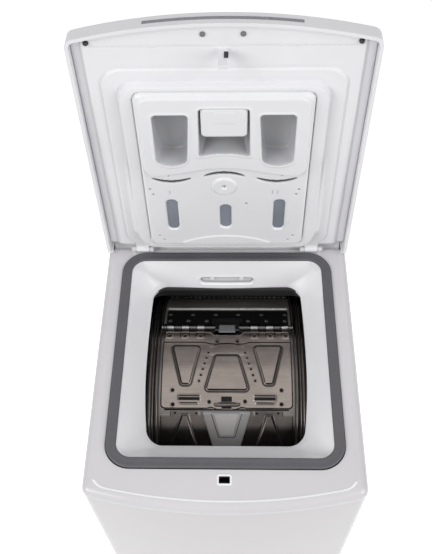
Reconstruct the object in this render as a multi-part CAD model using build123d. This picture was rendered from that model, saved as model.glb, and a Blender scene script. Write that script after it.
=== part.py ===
from build123d import *
import os
from math import cos, radians, sin

# Top-loading washing machine, 400 mm wide, drum across the machine.
# Millimetres. X to the right, Y to the back, Z up. The origin is on the floor, in the
# middle of the machine's plan. The lid is modelled shut and then turned up to its stop.

# Leading sizes: the machine's width and the tub's bore. The tub gives the depth and the height
WIDTH = 400.0
HALF = WIDTH / 2
TUB_R = 244.0
AXIS_Z = TUB_R + 226.0
TUB_SCALE = TUB_R / 244.0

# Cabinet
FRONT_Y = -TUB_R - 56.0
REAR_Y = TUB_R + 44.0
BOW = 25.0
CORNER_R = 14.0
TOP_Z = AXIS_Z + TUB_R + 106.0
SHEET = 1.2
SKIRT = 17.0
PLASTIC = 3.0
FIT = 0.3
SEAM_Y = FRONT_Y + 45.0
FLANGE = 14.0
PANEL_FOOT_Z = 24.0
EDGE_R = 11.0

# Base and feet
BASE_Z = 20.0
BASE_H = 24.0
BASE_WALL = 3.0
FOOT_X = HALF - 35.0
FOOT_FRONT_Y = FRONT_Y + 68.0
FOOT_REAR_Y = REAR_Y - 38.0
FOOT_R = 18.0
FOOT_H = 12.0
STEM_R = 5.0
RUN = 0.05

# Lid hinge, as the angle past upright shows in the open pose
HINGE_Y = REAR_Y - 150.5
HINGE_Z = TOP_Z + 7.4
LID_OPEN = 93.2
LID_Y0 = HINGE_Y + 7.5
LID_REACH = LID_Y0 - FRONT_Y
LID_GAP = 0.6
LID_H = 27.5
LID_WALL = 2.5
LID_SKIRT = 5.0
LID_EDGE_R = 6.0
LIP_HALF = HALF - 9.0
LIP_R = TOP_Z + LID_GAP + LID_H - HINGE_Z
EAR_R = 5.0
PIN_R = 2.0
KNUCKLE_X0 = HALF - 70.0
KNUCKLE_X1 = HALF - 48.0
EAR_T = 7.0

# Lid lining, as half widths and reaches from the hinge line
STEP_FACE = [-8.0, -4.6, 8.0]
STEP_HALF = [HALF - 21.0, HALF - 39.0, HALF - 61.0]
STEP_LOW = [20.0, 22.0, 31.0]
STEP_HIGH = [0.0, LID_REACH - 73.0, LID_REACH - 91.0]
STEP_R = [12.0, 26.0, 24.0]
LINING = 2.2

# Dispenser tray under the lid
TRAY_HALF = HALF - 78.0
TRAY_LOW = 43.0
TRAY_HIGH = LID_REACH - 96.5
TRAY_FACE = 20.0
TRAY_BACK = -15.0
TRAY_STEP = 6.0
TRAY_STEP_AT = TRAY_HIGH - 148.5
TRAY_R = 12.0
TRAY_WALL = 2.5
POCKET_X0 = 50.0
POCKET_X1 = TRAY_HALF - 25.0
POCKET_LOW = TRAY_HIGH - 118.5
POCKET_HIGH = TRAY_HIGH - 30.5
CHAMBER_LOW = 60.0
CENTRE_HALF = 34.0
CENTRE_LOW = TRAY_HIGH - 104.5
CENTRE_HIGH = TRAY_HIGH - 20.0
CARE_FLAP_H = 49.0
CARE_FLAP_T = 2.4
TRAY_PULL_ROOM = 0.5
WINDOW_W = 17.5

# Loading funnel and seal
SEAL_X = HALF - 28.0
SEAL_FRONT = FRONT_Y + 59.5
SEAL_REAR = REAR_Y - 155.0
SEAL_W = 15.6
SEAL_H = 4.0
SEAL_R = 38.0
FUNNEL_WALL = 3.0
LIP_Z = TOP_Z - 65.0
LIP_X = HALF - 70.0
LIP_FRONT = FRONT_Y + 117.0
LIP_REAR = REAR_Y - 181.0
LIP_CORNER = 25.0
COLLAR = 9.0
GAITER_WALL = 2.6
NOZZLE_Z = TOP_Z - 45.0
NOZZLE_HALF = 42.0

# Tub
TUB_WALL = 4.5
TUB_HALF = HALF - 55.0
NECK_X = TUB_HALF - 7.0
NECK_FRONT = LIP_FRONT - 4.0
NECK_REAR = LIP_REAR + 43.0
NECK_WALL = 2.5
NECK_Z = LIP_Z - 20.0
SUMP_HALF_X = 100.0
SUMP_HALF_Y = 55.0
SUMP_Z = AXIS_Z - TUB_R - 31.0
HUB_R = 45.0
HUB_X = HALF - 30.0
BEARING_R = 26.0
BEARING_X0 = HALF - 48.0
BEARING_W = 15.0

# Drum
DRUM_R = TUB_R - 12.0
DRUM_SHEET = 1.2
DRUM_HALF = TUB_HALF - 11.0
MOUTH_HALF = DRUM_HALF - 30.0
MOUTH_REAR = 12.3
MOUTH_FRONT = -40.6
END_X = DRUM_HALF - 12.0
SHAFT_R = 12.5
SHAFT_END = HALF - 12.0
PADDLE_ANGLES = [80.0, 180.0, -105.0]
PADDLE_H = 45.0
PADDLE_HALF = DRUM_HALF - 19.0

# Drum flaps: angles from the top of the drum, positive to the back
FLAP_HALF = MOUTH_HALF + 8.0
FLAP_T = 1.2
ROD_REAR = 14.6
ROD_FRONT = -42.5
MEET = -22.9
MEET_GAP = 0.6
ROD_R = 2.0
KNUCKLE_R = 3.6
KNUCKLES = 12
HINGE_BLOCK_HALF = 15.0
CARRIER_T = 4.0
BUTTON_TRAVEL = 3.0
BUTTON_ANGLE = -28.5

# Drive
PULLEY_R = 140.0
PULLEY_X0 = HUB_X + 2.0
PULLEY_W = 14.0
MOTOR_Y = 120.0
MOTOR_Z = 140.0
MOTOR_R = 60.0
MOTOR_PULLEY_R = 12.0
BELT_T = 3.0

# Console behind the lid
CONSOLE_Y = REAR_Y - 127.4
CONSOLE_FRONT_Z = TOP_Z + 36.0
CONSOLE_REAR_Z = TOP_Z + 60.0
FASCIA_HALF = HALF - 22.0
FASCIA_D = 74.0
FASCIA_T = 2.4
FASCIA_SUNK = 1.4
KNOB_X = HALF - 72.0
KNOB_R = 21.0
KNOB_H = 17.0
BUTTON_R = 8.0
BUTTON_PRESS = 2.0
BUTTON_PROUD = 2.6
BUTTON_XS = {"power": 50.0 - HALF, "option_left": -104.0, "option_right": -76.0, "start": 70.0}
DISPLAY_X = -2.0
DISPLAY_W = 84.0
DISPLAY_D = 34.0
BOARD_DEPTH = 16.0
SWITCH_TOP = -9.0
SELECTOR_TOP = -10.0

# Filter door and pump
DOOR_X = HALF - 90.0
DOOR_W = 104.0
DOOR_Z0 = 50.0
DOOR_H = 92.0
DOOR_GAP = 0.8
DOOR_PIN_BACK = 2.5
DOOR_PIN_IN = 5.0
DOOR_PIN_R = 1.2
FILTER_Z = 96.0
FILTER_R = 27.0
PUMP_STUB = 45.0

# Rear fittings
FITTING_REACH = 12.0
INLET_X = 50.0 - HALF
INLET_Z = TOP_Z - 50.0
INLET_R = 13.2
GLAND_X = HALF - 50.0
GLAND_Z = TOP_Z - 50.0
GLAND_R = 7.7
CORD_BORE_R = 4.2
DRAIN_X = -90.0
DRAIN_Z = 700.0
DRAIN_R = 10.0


def block(x0, x1, y0, y1, z0, z1):
    """A square block between two corners."""
    return Pos((x0 + x1) / 2, (y0 + y1) / 2, (z0 + z1) / 2) * Box(x1 - x0, y1 - y0, z1 - z0)


def slab(x0, x1, y0, y1, z0, z1, r):
    """A block whose upright edges are rounded."""
    face = RectangleRounded(x1 - x0, y1 - y0, r)
    return Pos((x0 + x1) / 2, (y0 + y1) / 2, z0) * extrude(face, z1 - z0)


def rod_x(x0, x1, y, z, r):
    """A round bar along X."""
    return extrude(Plane.YZ.offset(x0) * Pos(y, z) * Circle(r), x1 - x0)


def rod_y(y0, y1, x, z, r):
    """A round bar along Y."""
    return extrude(Plane.XZ.offset(-y0) * Pos(x, z) * Circle(r), y0 - y1)


def rod_z(z0, z1, x, y, r):
    """A round bar along Z."""
    return Pos(x, y, z0) * extrude(Circle(r), z1 - z0)


def on_drum(r, angle):
    """Y and Z of a point at radius r, angle in degrees from the drum's top to the back."""
    return r * sin(radians(angle)), AXIS_Z + r * cos(radians(angle))


def sector(r0, r1, a0, a1, x0, x1):
    """A curved plate about the drum's axis, between two radii and two angles."""
    middle = (a0 + a1) / 2
    outer = ThreePointArc(on_drum(r1, a0), on_drum(r1, middle), on_drum(r1, a1))
    inner = ThreePointArc(on_drum(r0, a1), on_drum(r0, middle), on_drum(r0, a0))
    sides = [Line(on_drum(r1, a1), on_drum(r0, a1)), Line(on_drum(r0, a0), on_drum(r1, a0))]
    face = make_face([outer, sides[0], inner, sides[1]])
    return extrude(Plane.YZ.offset(x0) * face, x1 - x0)


def plan(inset, rear_y, corner=None):
    """The machine's outline seen from above, drawn in by inset: its front edge is bowed."""
    half = HALF - inset
    crest = FRONT_Y + inset
    side = crest + BOW * (half / HALF) ** 2
    edges = [
        Line((half, rear_y), (-half, rear_y)),
        Line((-half, rear_y), (-half, side)),
        ThreePointArc((-half, side), (0, crest), (half, side)),
        Line((half, side), (half, rear_y)),
    ]
    face = make_face(edges)
    radius = CORNER_R - inset if corner is None else corner
    if radius > 0.5:
        front = [v for v in face.vertices() if v.Y < side + 1]
        face = fillet(front, radius)
    return face


def prism(face, z0, z1):
    """A flat outline pulled up between two heights."""
    return Pos(0, 0, z0) * extrude(face, z1 - z0)


def mirrored(piece):
    """The piece and its mirror image across the machine's middle plane."""
    return [piece, mirror(piece, about=Plane.YZ)]


def group(pieces):
    """Separate solids kept in one node."""
    solids = []
    for piece in pieces:
        solids += piece.solids()
    return Compound(solids)


def flap_arc(r0, r1, a0, a1, x0, x1):
    """A sector with its angles given either way round."""
    return sector(r0, r1, min(a0, a1), max(a0, a1), x0, x1)


# Cabinet pieces

def base_frame():
    """A tray with four threaded foot bosses, inside the foot of the panels."""
    inset = SHEET + FIT
    rear = REAR_Y - SHEET - FIT
    tray = prism(plan(inset, rear), BASE_Z, BASE_Z + BASE_H)
    tray -= prism(plan(inset + BASE_WALL, rear - BASE_WALL), BASE_Z + BASE_WALL, BASE_Z + BASE_H + 1)
    for x in (-FOOT_X, FOOT_X):
        for y in (FOOT_FRONT_Y, FOOT_REAR_Y):
            tray += rod_z(BASE_Z, BASE_Z + 18, x, y, 2 * STEM_R)
            tray -= rod_z(BASE_Z - 1, BASE_Z + 19, x, y, STEM_R + RUN)
    for y in (-120.0, 60.0):
        tray += block(-HALF + inset + 1, HALF - inset - 1, y, y + BASE_WALL, BASE_Z + 1, BASE_Z + 20)
    tray -= block(-50, 50, -60, 40, BASE_Z - 1, BASE_Z + BASE_WALL + 1)
    return tray


def foot(x, y):
    """A levelling foot: rubber-faced disc, hexagon collar and stem."""
    disc = rod_z(0, FOOT_H, x, y, FOOT_R)
    collar = Pos(x, y, FOOT_H) * extrude(RegularPolygon(9, 6), BASE_Z - FIT - FOOT_H)
    stem = rod_z(FOOT_H, BASE_Z + 24, x, y, STEM_R)
    return disc + collar + stem


def side_panel():
    """The right side sheet, folded inwards at its front and back."""
    z1 = TOP_Z - SKIRT - FIT
    front = SEAM_Y + FIT
    rear = REAR_Y - SHEET - FIT
    panel = block(HALF - SHEET, HALF, front, REAR_Y, PANEL_FOOT_Z, z1)
    panel += block(HALF - FLANGE, HALF - SHEET, front, front + SHEET, PANEL_FOOT_Z, z1)
    panel += block(HALF - FLANGE, HALF - SHEET, rear - SHEET, rear, BASE_Z + BASE_H + FIT, z1)
    clear = block(0, HALF - SHEET, front - 1, front + 2, 0, BASE_Z + BASE_H + FIT)
    return panel - clear


def front_shell(z0, z1):
    """The bowed sheet of the front, between two heights."""
    shell = prism(plan(0, 0), z0, z1) - prism(plan(SHEET, 1), z0 - 1, z1 + 1)
    return shell & block(-HALF - 1, HALF + 1, FRONT_Y - 1, SEAM_Y, z0, z1)


def front_panel():
    """The bowed front sheet with the filter door's opening."""
    z1 = TOP_Z - SKIRT - FIT
    shell = front_shell(PANEL_FOOT_Z, z1)
    lip = prism(plan(SHEET, 0), z1 - SHEET, z1) - prism(plan(SHEET + FLANGE, 1), z1 - 5, z1 + 1)
    shell += lip & block(-HALF + 2, HALF - 2, FRONT_Y, SEAM_Y, z1 - SHEET, z1)
    half = DOOR_W / 2
    return shell - block(DOOR_X - half, DOOR_X + half, FRONT_Y - 1, SEAM_Y - 3, DOOR_Z0, DOOR_Z0 + DOOR_H)


def door_pin():
    """X and Y of the filter door's upright hinge pin, close behind the sheet at its right."""
    x = DOOR_X + DOOR_W / 2 - DOOR_GAP - DOOR_PIN_IN
    return x, FRONT_Y + BOW * (x / HALF) ** 2 + DOOR_PIN_BACK


def door_eye_spans():
    """Heights of the door's two hinge eyes."""
    top = DOOR_Z0 + DOOR_H
    return [(DOOR_Z0 + 12, DOOR_Z0 + 32), (top - 32, top - 12)]


def filter_door():
    """The small door in the front sheet, with its two hinge eyes."""
    half = DOOR_W / 2 - DOOR_GAP
    x, y = door_pin()
    z0, z1 = DOOR_Z0 + DOOR_GAP, DOOR_Z0 + DOOR_H - DOOR_GAP
    door = front_shell(z0, z1) & block(DOOR_X - half, DOOR_X + half, FRONT_Y - 1, SEAM_Y, z0, z1)
    for low, high in door_eye_spans():
        eye = rod_z(low, high, x, y, 2 * DOOR_PIN_R) & prism(plan(0.1, 0), 0, TOP_Z)
        door += eye
        door -= rod_z(low - 1, high + 1, x, y, DOOR_PIN_R + RUN)
    return door


def door_frame():
    """The plastic frame behind the filter door: walls, filter collar and hinge arms."""
    x, y = door_pin()
    x0, x1 = DOOR_X - DOOR_W / 2 - 6, DOOR_X + DOOR_W / 2 + 6
    z0, z1 = DOOR_Z0 - 5, DOOR_Z0 + DOOR_H + 5
    back = y + 7
    frame = block(x0, x1, back, back + 2, z0, z1)
    walls = block(x0, x1, FRONT_Y, back, z0, z1) - block(x0 + 2, x1 - 2, FRONT_Y - 1, back, z0 + 2, z1 - 2)
    frame += walls & prism(plan(SHEET, REAR_Y), 0, TOP_Z)
    frame -= rod_y(back - 1, back + 3, DOOR_X, FILTER_Z, FILTER_R + 3)
    (low0, low1), (high0, high1) = door_eye_spans()
    for base in (low0 - FIT - 5, low1 + FIT, high0 - FIT - 5, high1 + FIT):
        frame += block(x - 6, x - 0.4, y - 0.9, back + 1, base, base + 5)
    return frame + rod_z(low0 - FIT - 3, high1 + FIT + 3, x, y, DOOR_PIN_R)


def rear_panel():
    """The back sheet, with holes for the water inlet, the mains gland and the drain."""
    half = HALF - SHEET - FIT
    top = TOP_Z - SKIRT - FIT
    sheet = block(-half, half, REAR_Y - SHEET, REAR_Y, PANEL_FOOT_Z, top)
    holes = [(INLET_X, INLET_Z, INLET_R + 3), (GLAND_X, GLAND_Z, GLAND_R), (DRAIN_X, DRAIN_Z, DRAIN_R + 2)]
    for x, z, r in holes:
        sheet -= rod_y(REAR_Y - 3, REAR_Y + 1, x, z, r)
    return sheet


def top_frame():
    """The plastic top: bowed skirt, funnel opening, lock slot, lid trough and hinge ears."""
    z0 = TOP_Z - SKIRT
    body = prism(plan(0, REAR_Y), z0, TOP_Z)
    rim = body.faces().sort_by(Axis.Z)[-1].edges()
    body = fillet([e for e in rim if e.center().Y < REAR_Y - 1], EDGE_R)
    body -= prism(plan(PLASTIC, REAR_Y - PLASTIC, 4), z0 - 1, TOP_Z - PLASTIC)
    edge = HALF - PLASTIC - 0.5
    body += block(-edge, edge, HINGE_Y + 4 - PLASTIC, CONSOLE_Y + PLASTIC, z0 - 2, TOP_Z - 1)
    body -= block(-LIP_HALF - 3, LIP_HALF + 3, HINGE_Y + 4, CONSOLE_Y, z0 + 1, TOP_Z + 1)
    body -= slab(-SEAL_X - 1, SEAL_X + 1, SEAL_FRONT - 1, SEAL_REAR + 1, z0 - 9, TOP_Z + 1, SEAL_R)
    body -= block(-7.7, 7.7, FRONT_Y + 38.8, FRONT_Y + 49.2, z0, TOP_Z + 1)
    for side in (-1, 1):
        for x0 in (KNUCKLE_X0 - FIT - EAR_T, KNUCKLE_X1 + FIT):
            low, high = sorted((side * x0, side * (x0 + EAR_T)))
            ear = rod_x(low, high, HINGE_Y, HINGE_Z, EAR_R)
            ear += block(low, high, SEAL_REAR + 1.2, HINGE_Y + 4, TOP_Z - 2, HINGE_Z)
            body += ear - rod_x(low - 1, high + 1, HINGE_Y, HINGE_Z, PIN_R)
    return body


def seal_outline(inset, z0, z1):
    """The rounded rectangle of the lid seal, drawn in by inset."""
    return slab(-SEAL_X + inset, SEAL_X - inset, SEAL_FRONT + inset, SEAL_REAR - inset,
                z0, z1, SEAL_R - inset)


def lid_seal():
    """The flat grey ring between the funnel and the top."""
    return seal_outline(0, TOP_Z + 0.2, TOP_Z + SEAL_H) - seal_outline(SEAL_W, TOP_Z, TOP_Z + SEAL_H + 1)


def lip_face(grow, z):
    """The funnel's lower outline at a height, grown by some millimetres."""
    face = RectangleRounded(2 * (LIP_X + grow), LIP_REAR - LIP_FRONT + 2 * grow, LIP_CORNER + grow)
    return Pos(0, (LIP_FRONT + LIP_REAR) / 2, z) * face


def seal_face(inset, z):
    """The seal's outline at a height, drawn in by inset."""
    face = RectangleRounded(2 * (SEAL_X - inset), SEAL_REAR - SEAL_FRONT - 2 * inset, SEAL_R - inset)
    return Pos(0, (SEAL_FRONT + SEAL_REAR) / 2, z) * face


def funnel():
    """The white loading funnel, with the flange that carries the seal."""
    inner_top = SEAL_W + 0.4
    outer = loft([seal_face(inner_top - FUNNEL_WALL, TOP_Z), lip_face(FUNNEL_WALL, LIP_Z)])
    inner = loft([seal_face(inner_top, TOP_Z + 0.4), lip_face(0, LIP_Z - 0.4)])
    flange = seal_outline(-0.6, TOP_Z - 4, TOP_Z)
    slot = Pos(0, LIP_REAR + 3, NOZZLE_Z) * Rot(90, 0, 0) * extrude(SlotOverall(89, 12), 15, both=True)
    return (flange + outer) - inner - slot


def water_nozzle():
    """The spray bar behind the funnel's slot, with its two spouts."""
    y = LIP_REAR + 9
    bar = block(-NOZZLE_HALF, NOZZLE_HALF, y, y + 14, NOZZLE_Z - 8, NOZZLE_Z + 8)
    for x in (-25.0, 25.0):
        bar += block(x - 4, x + 4, y - 6, y + 1, NOZZLE_Z - 1, NOZZLE_Z + 4)
    bar += rod_y(y + 14, y + 26, -30, NOZZLE_Z, 6)
    return bar


def gaiter_face(inset, z):
    """The gaiter's outline where it sits on the tub's neck, drawn in by inset."""
    half_y = (NECK_REAR - NECK_FRONT) / 2 + NECK_WALL - inset
    face = RectangleRounded(2 * (NECK_X + NECK_WALL - inset), 2 * half_y, 22 - inset)
    return Pos(0, (NECK_FRONT + NECK_REAR) / 2, z) * face


def bellows():
    """The rubber gaiter: a straight collar under the funnel, flaring to the tub's neck."""
    top, fold, foot_z = LIP_Z, LIP_Z - COLLAR, NECK_Z
    grow = FUNNEL_WALL
    outer = loft([lip_face(grow, fold), gaiter_face(0, foot_z)])
    outer += extrude(lip_face(grow, fold), COLLAR)
    wall = GAITER_WALL
    inner = loft([lip_face(grow - wall, fold), gaiter_face(wall, foot_z - 0.01)])
    inner += extrude(lip_face(grow - wall, fold - 0.01), COLLAR + 1)
    return outer - inner


def door_lock():
    """The lock module under the slot in the top, with its pocket for the lid's hook."""
    y = FRONT_Y + 44
    z1 = TOP_Z - PLASTIC
    body = block(-26, 26, y - 13, y + 13, z1 - 40, z1)
    body += block(26, 44, y - 8, y + 8, z1 - 30, z1 - 12)
    return body - block(-9, 9, y - 7, y + 7, z1 - 28, z1 + 1)


def console_plane():
    """The sloping face of the console, its origin in the middle of the slope."""
    run = REAR_Y - CONSOLE_Y
    rise = CONSOLE_REAR_Z - CONSOLE_FRONT_Z
    normal = Vector(0, -rise, run).normalized()
    middle = (0, (REAR_Y + CONSOLE_Y) / 2, (CONSOLE_REAR_Z + CONSOLE_FRONT_Z) / 2)
    return Plane(origin=middle, x_dir=(1, 0, 0), z_dir=normal)


def console_profile(inset, base):
    """The console's side outline, drawn in by inset."""
    points = [
        (CONSOLE_Y + inset, base),
        (REAR_Y - inset, base),
        (REAR_Y - inset, CONSOLE_REAR_Z - inset),
        (CONSOLE_Y + inset, CONSOLE_FRONT_Z - inset),
    ]
    return Plane.YZ * make_face(Polyline(*points, close=True))


def console_body():
    """The hollow console housing, with the recess for its fascia."""
    base = TOP_Z + FIT
    shell = extrude(console_profile(0, base), HALF, both=True)
    ends = [e for e in shell.edges() if e.center().Z > TOP_Z + 20 and abs(e.center().X) > HALF - 1]
    shell = fillet(ends, 4)
    shell -= extrude(console_profile(PLASTIC, base - 1), HALF - PLASTIC, both=True)
    recess = Box(2 * FASCIA_HALF + 2 * FIT, FASCIA_D + 2 * FIT, 2 * FASCIA_SUNK)
    opening = Box(2 * FASCIA_HALF - 8, FASCIA_D - 8, 20)
    return shell - console_plane() * recess - console_plane() * opening


def console_fascia():
    """The control plate let into the console's slope, holed for knob, buttons and display."""
    plate = Pos(0, 0, -FASCIA_SUNK) * extrude(Rectangle(2 * FASCIA_HALF, FASCIA_D), FASCIA_T)
    for x in BUTTON_XS.values():
        plate -= Pos(x, 0, 0) * Cylinder(BUTTON_R + FIT, 20)
    plate -= Pos(KNOB_X, 0, 0) * Cylinder(3.4, 20)
    plate -= Pos(DISPLAY_X, 0, 0) * Box(DISPLAY_W, DISPLAY_D, 20)
    return console_plane() * plate


def display_window():
    """The smoked window over the display."""
    middle = FASCIA_T - FASCIA_SUNK - 1.7
    window = Pos(DISPLAY_X, 0, middle) * Box(DISPLAY_W - 2 * FIT, DISPLAY_D - 2 * FIT, 3)
    return console_plane() * window


def post(x, y, half_x, half_y, z0, z1):
    """An upright block on the circuit board, between two depths."""
    return Pos(x, y, (z0 + z1) / 2) * Box(2 * half_x, 2 * half_y, z1 - z0)


def control_board():
    """The circuit board under the fascia, with switches, selector, display and posts."""
    top = -BOARD_DEPTH + 0.8
    board = post(-5, 0, 170, 29, -BOARD_DEPTH - 0.8, top)
    for x in BUTTON_XS.values():
        board += post(x, 0, 6, 6, top - 0.4, SWITCH_TOP)
    board += post(KNOB_X, 0, 13, 13, top - 0.4, SELECTOR_TOP)
    window_back = FASCIA_T - FASCIA_SUNK - 3.2
    board += post(DISPLAY_X, 0, DISPLAY_W / 2 - 5, DISPLAY_D / 2 - 5, top - 0.4, window_back)
    for x in (-165.0, 155.0):
        for y in (-24.0, 24.0):
            board += post(x, y, 3, 3, top - 0.4, -FASCIA_SUNK)
    return console_plane() * board


def program_knob():
    """The programme knob: skirt, fluted grip and shaft."""
    base = FASCIA_T - FASCIA_SUNK + FIT
    knob = Pos(0, 0, base) * extrude(Circle(KNOB_R + 4), 4)
    grip = Pos(0, 0, base + 4) * extrude(Circle(KNOB_R), KNOB_H - 4)
    knob += fillet(grip.edges().group_by(Axis.Z)[-1], 2)
    for turn in range(12):
        knob -= Rot(0, 0, 30 * turn) * Pos(KNOB_R + 1.2, 0, base + 4 + KNOB_H / 2) * Cylinder(2.4, KNOB_H)
    shaft_end = SELECTOR_TOP + FIT
    knob += Pos(0, 0, shaft_end) * extrude(Circle(3), base - shaft_end + 1)
    return console_plane() * Pos(KNOB_X, 0, 0) * knob


def push_button(x):
    """A button cap with the flange that keeps it in the fascia, and its tip."""
    top = FASCIA_T - FASCIA_SUNK + BUTTON_PROUD
    cap = Pos(0, 0, -FASCIA_SUNK - 2) * extrude(Circle(BUTTON_R), top + FASCIA_SUNK + 2)
    cap = fillet(cap.edges().group_by(Axis.Z)[-1], 1)
    cap += Pos(0, 0, -FASCIA_SUNK - FIT - 1.5) * extrude(Circle(BUTTON_R + 1.8), 1.5)
    tip = SWITCH_TOP + BUTTON_PRESS + FIT
    cap += Pos(0, 0, tip) * extrude(Circle(2.5), -FASCIA_SUNK - tip)
    return console_plane() * Pos(x, 0, 0) * cap


# Tub and what hangs on it

def neck_block(grow, z0, z1):
    """The tub mouth's rounded outline, grown by a wall."""
    return slab(-NECK_X - grow, NECK_X + grow, NECK_FRONT - grow, NECK_REAR + grow, z0, z1, 20 + grow)


def tub_barrel():
    """The tub's barrel, with its upright neck above and its sump below."""
    r = TUB_R + TUB_WALL
    body = rod_x(-TUB_HALF, TUB_HALF, 0, AXIS_Z, r)
    body += neck_block(NECK_WALL, AXIS_Z + 60, NECK_Z)
    body += block(-SUMP_HALF_X, SUMP_HALF_X, -SUMP_HALF_Y, SUMP_HALF_Y, SUMP_Z, AXIS_Z - TUB_R + 20)
    body -= rod_x(-TUB_HALF - 1, TUB_HALF + 1, 0, AXIS_Z, TUB_R)
    body -= neck_block(0, AXIS_Z, NECK_Z + 1)
    body -= block(-SUMP_HALF_X + 3, SUMP_HALF_X - 3, -SUMP_HALF_Y + 3, SUMP_HALF_Y - 3, SUMP_Z + 3, AXIS_Z)
    body += rod_z(SUMP_Z - 16, SUMP_Z + 1, 60, 0, 20)
    body -= rod_z(SUMP_Z - 17, SUMP_Z + 4, 60, 0, 16)
    for y in (-18.0, 18.0):
        body -= rod_x(-SUMP_HALF_X - 1, -SUMP_HALF_X + 4, y, SUMP_Z + 17, 4.3)
    for x in (-60.0, 40.0):
        body += motor_lug(x)
    return body


def motor_lug(x):
    """One lug under the tub that carries the motor."""
    lug = block(x, x + 12, MOTOR_Y - 34, MOTOR_Y + 8, MOTOR_Z + MOTOR_R + 2, AXIS_Z - TUB_R + 44)
    return lug - rod_x(x - 1, x + 13, 0, AXIS_Z, TUB_R + 1)


def tub_end():
    """The right end of the tub: disc, ribs and bearing hub."""
    r = TUB_R + TUB_WALL
    end = rod_x(TUB_HALF, TUB_HALF + TUB_WALL, 0, AXIS_Z, r)
    for rib in range(8):
        bar = block(TUB_HALF + 1, TUB_HALF + TUB_WALL + 7, -2, 2, 20, r - 6)
        end += Pos(0, 0, AXIS_Z) * Rot(22.5 + 45 * rib, 0, 0) * bar
    end += rod_x(TUB_HALF, HUB_X, 0, AXIS_Z, HUB_R)
    end -= rod_x(TUB_HALF - 1, HUB_X + 1, 0, AXIS_Z, SHAFT_R + 1.5)
    return end - rod_x(BEARING_X0, HUB_X + 1, 0, AXIS_Z, BEARING_R)


def bearing():
    """The right drum bearing, a plain ring of its outer size."""
    ring = rod_x(BEARING_X0, BEARING_X0 + BEARING_W, 0, AXIS_Z, BEARING_R)
    return ring - rod_x(BEARING_X0 - 1, BEARING_X0 + BEARING_W + 1, 0, AXIS_Z, SHAFT_R + RUN)


def counterweights():
    """Two cast weights: a crescent on the left end, and a bar under the tub's front."""
    x1 = -TUB_HALF - TUB_WALL - 7 - FIT
    crescent = rod_x(x1 - 28, x1, 0, AXIS_Z, TUB_R - 29) - rod_x(x1 - 29, x1 + 1, 0, AXIS_Z, 95)
    crescent &= block(x1 - 30, x1 + 1, -TUB_R, TUB_R, AXIS_Z - TUB_R, AXIS_Z - 40)
    bar = block(-90, 90, -205 * TUB_SCALE, -120, 215, 330)
    bar -= rod_x(-91, 91, 0, AXIS_Z, TUB_R + TUB_WALL + FIT)
    return group([crescent, bar])


def heater():
    """The tubular heater in the sump, with its flange and two terminals."""
    z = SUMP_Z + 17
    x0 = -SUMP_HALF_X
    rods = rod_x(x0 - 16, 66, -18, z, 4) + rod_x(x0 - 16, 66, 18, z, 4)
    bend = Pos(66, 0, z) * Torus(18, 4)
    rods += bend & block(66, 100, -30, 30, z - 5, z + 5)
    return rods + block(x0 - 4, x0 - FIT, -32, 32, z - 9, z + 9)


def suspension_springs():
    """Four springs that hang the tub from the side sheets' upper brackets."""
    x = HALF - 24
    pieces = []
    for side in (-1, 1):
        for y in (-150 * TUB_SCALE, 150 * TUB_SCALE):
            coil = rod_z(AXIS_Z + 158 * TUB_SCALE, AXIS_Z + 270 * TUB_SCALE, side * x, y, 8)
            pieces.append(coil + rod_z(AXIS_Z + 130 * TUB_SCALE, AXIS_Z + 298 * TUB_SCALE, side * x, y, 2))
    return group(pieces)


def spring_brackets():
    """Brackets at the side sheets that hold the springs' upper hooks."""
    z0 = AXIS_Z + 298 * TUB_SCALE
    pieces = []
    for side in (-1, 1):
        for y in (-150 * TUB_SCALE, 150 * TUB_SCALE):
            x0, x1 = sorted((side * (HALF - 36), side * (HALF - SHEET)))
            pieces.append(block(x0, x1, y - 15, y + 15, z0 + FIT, z0 + 4))
    return pieces


def tub_lugs():
    """Lugs on the tub's ends that the springs and the dampers hold."""
    pieces = []
    x0 = TUB_HALF
    z1 = AXIS_Z + 130 * TUB_SCALE
    for y in (-150 * TUB_SCALE, 150 * TUB_SCALE):
        pieces.append(block(x0, HALF - 12, y - 10, y + 10, z1 - 10, z1 - FIT))
    z0 = AXIS_Z - 170 * TUB_SCALE
    for y in (-196 * TUB_SCALE, 196 * TUB_SCALE):
        pieces.append(block(x0, HALF - 18, y - 10, y + 10, z0, z0 + 12))
    return pieces


def dampers():
    """Four friction struts from the base tray up to the tub's lower lugs."""
    z1 = AXIS_Z - 170 * TUB_SCALE
    pieces = []
    for x in (26 - HALF, HALF - 26):
        for y in (-196 * TUB_SCALE, 196 * TUB_SCALE):
            strut = rod_z(70, 200, x, y, 11) + rod_z(200, z1 - FIT, x, y, 5)
            strut += rod_z(BASE_Z + BASE_WALL + FIT, 70, x, y, 6)
            pieces.append(strut)
    return group(pieces)


def motor():
    """The drive motor: stator housing, end shields and hanging ears."""
    body = rod_x(-62, 92, MOTOR_Y, MOTOR_Z, MOTOR_R)
    body += rod_x(92, 112, MOTOR_Y, MOTOR_Z, 30)
    for x in (-60.0, 40.0):
        body += block(x + 1, x + 11, MOTOR_Y - 20, MOTOR_Y + 6, MOTOR_Z + 40, MOTOR_Z + MOTOR_R + 2 - FIT)
    return body - rod_x(60, 113, MOTOR_Y, MOTOR_Z, 6 + RUN)


def motor_pulley():
    """The motor's shaft with its small belt pulley."""
    shaft = rod_x(62, PULLEY_X0 + PULLEY_W, MOTOR_Y, MOTOR_Z, 6)
    x0 = PULLEY_X0 - 2
    pulley = rod_x(x0, x0 + PULLEY_W + 4, MOTOR_Y, MOTOR_Z, MOTOR_PULLEY_R)
    for x in (x0, x0 + PULLEY_W + 2.5):
        pulley += rod_x(x, x + 1.5, MOTOR_Y, MOTOR_Z, MOTOR_PULLEY_R + 3)
    return shaft + pulley


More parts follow.
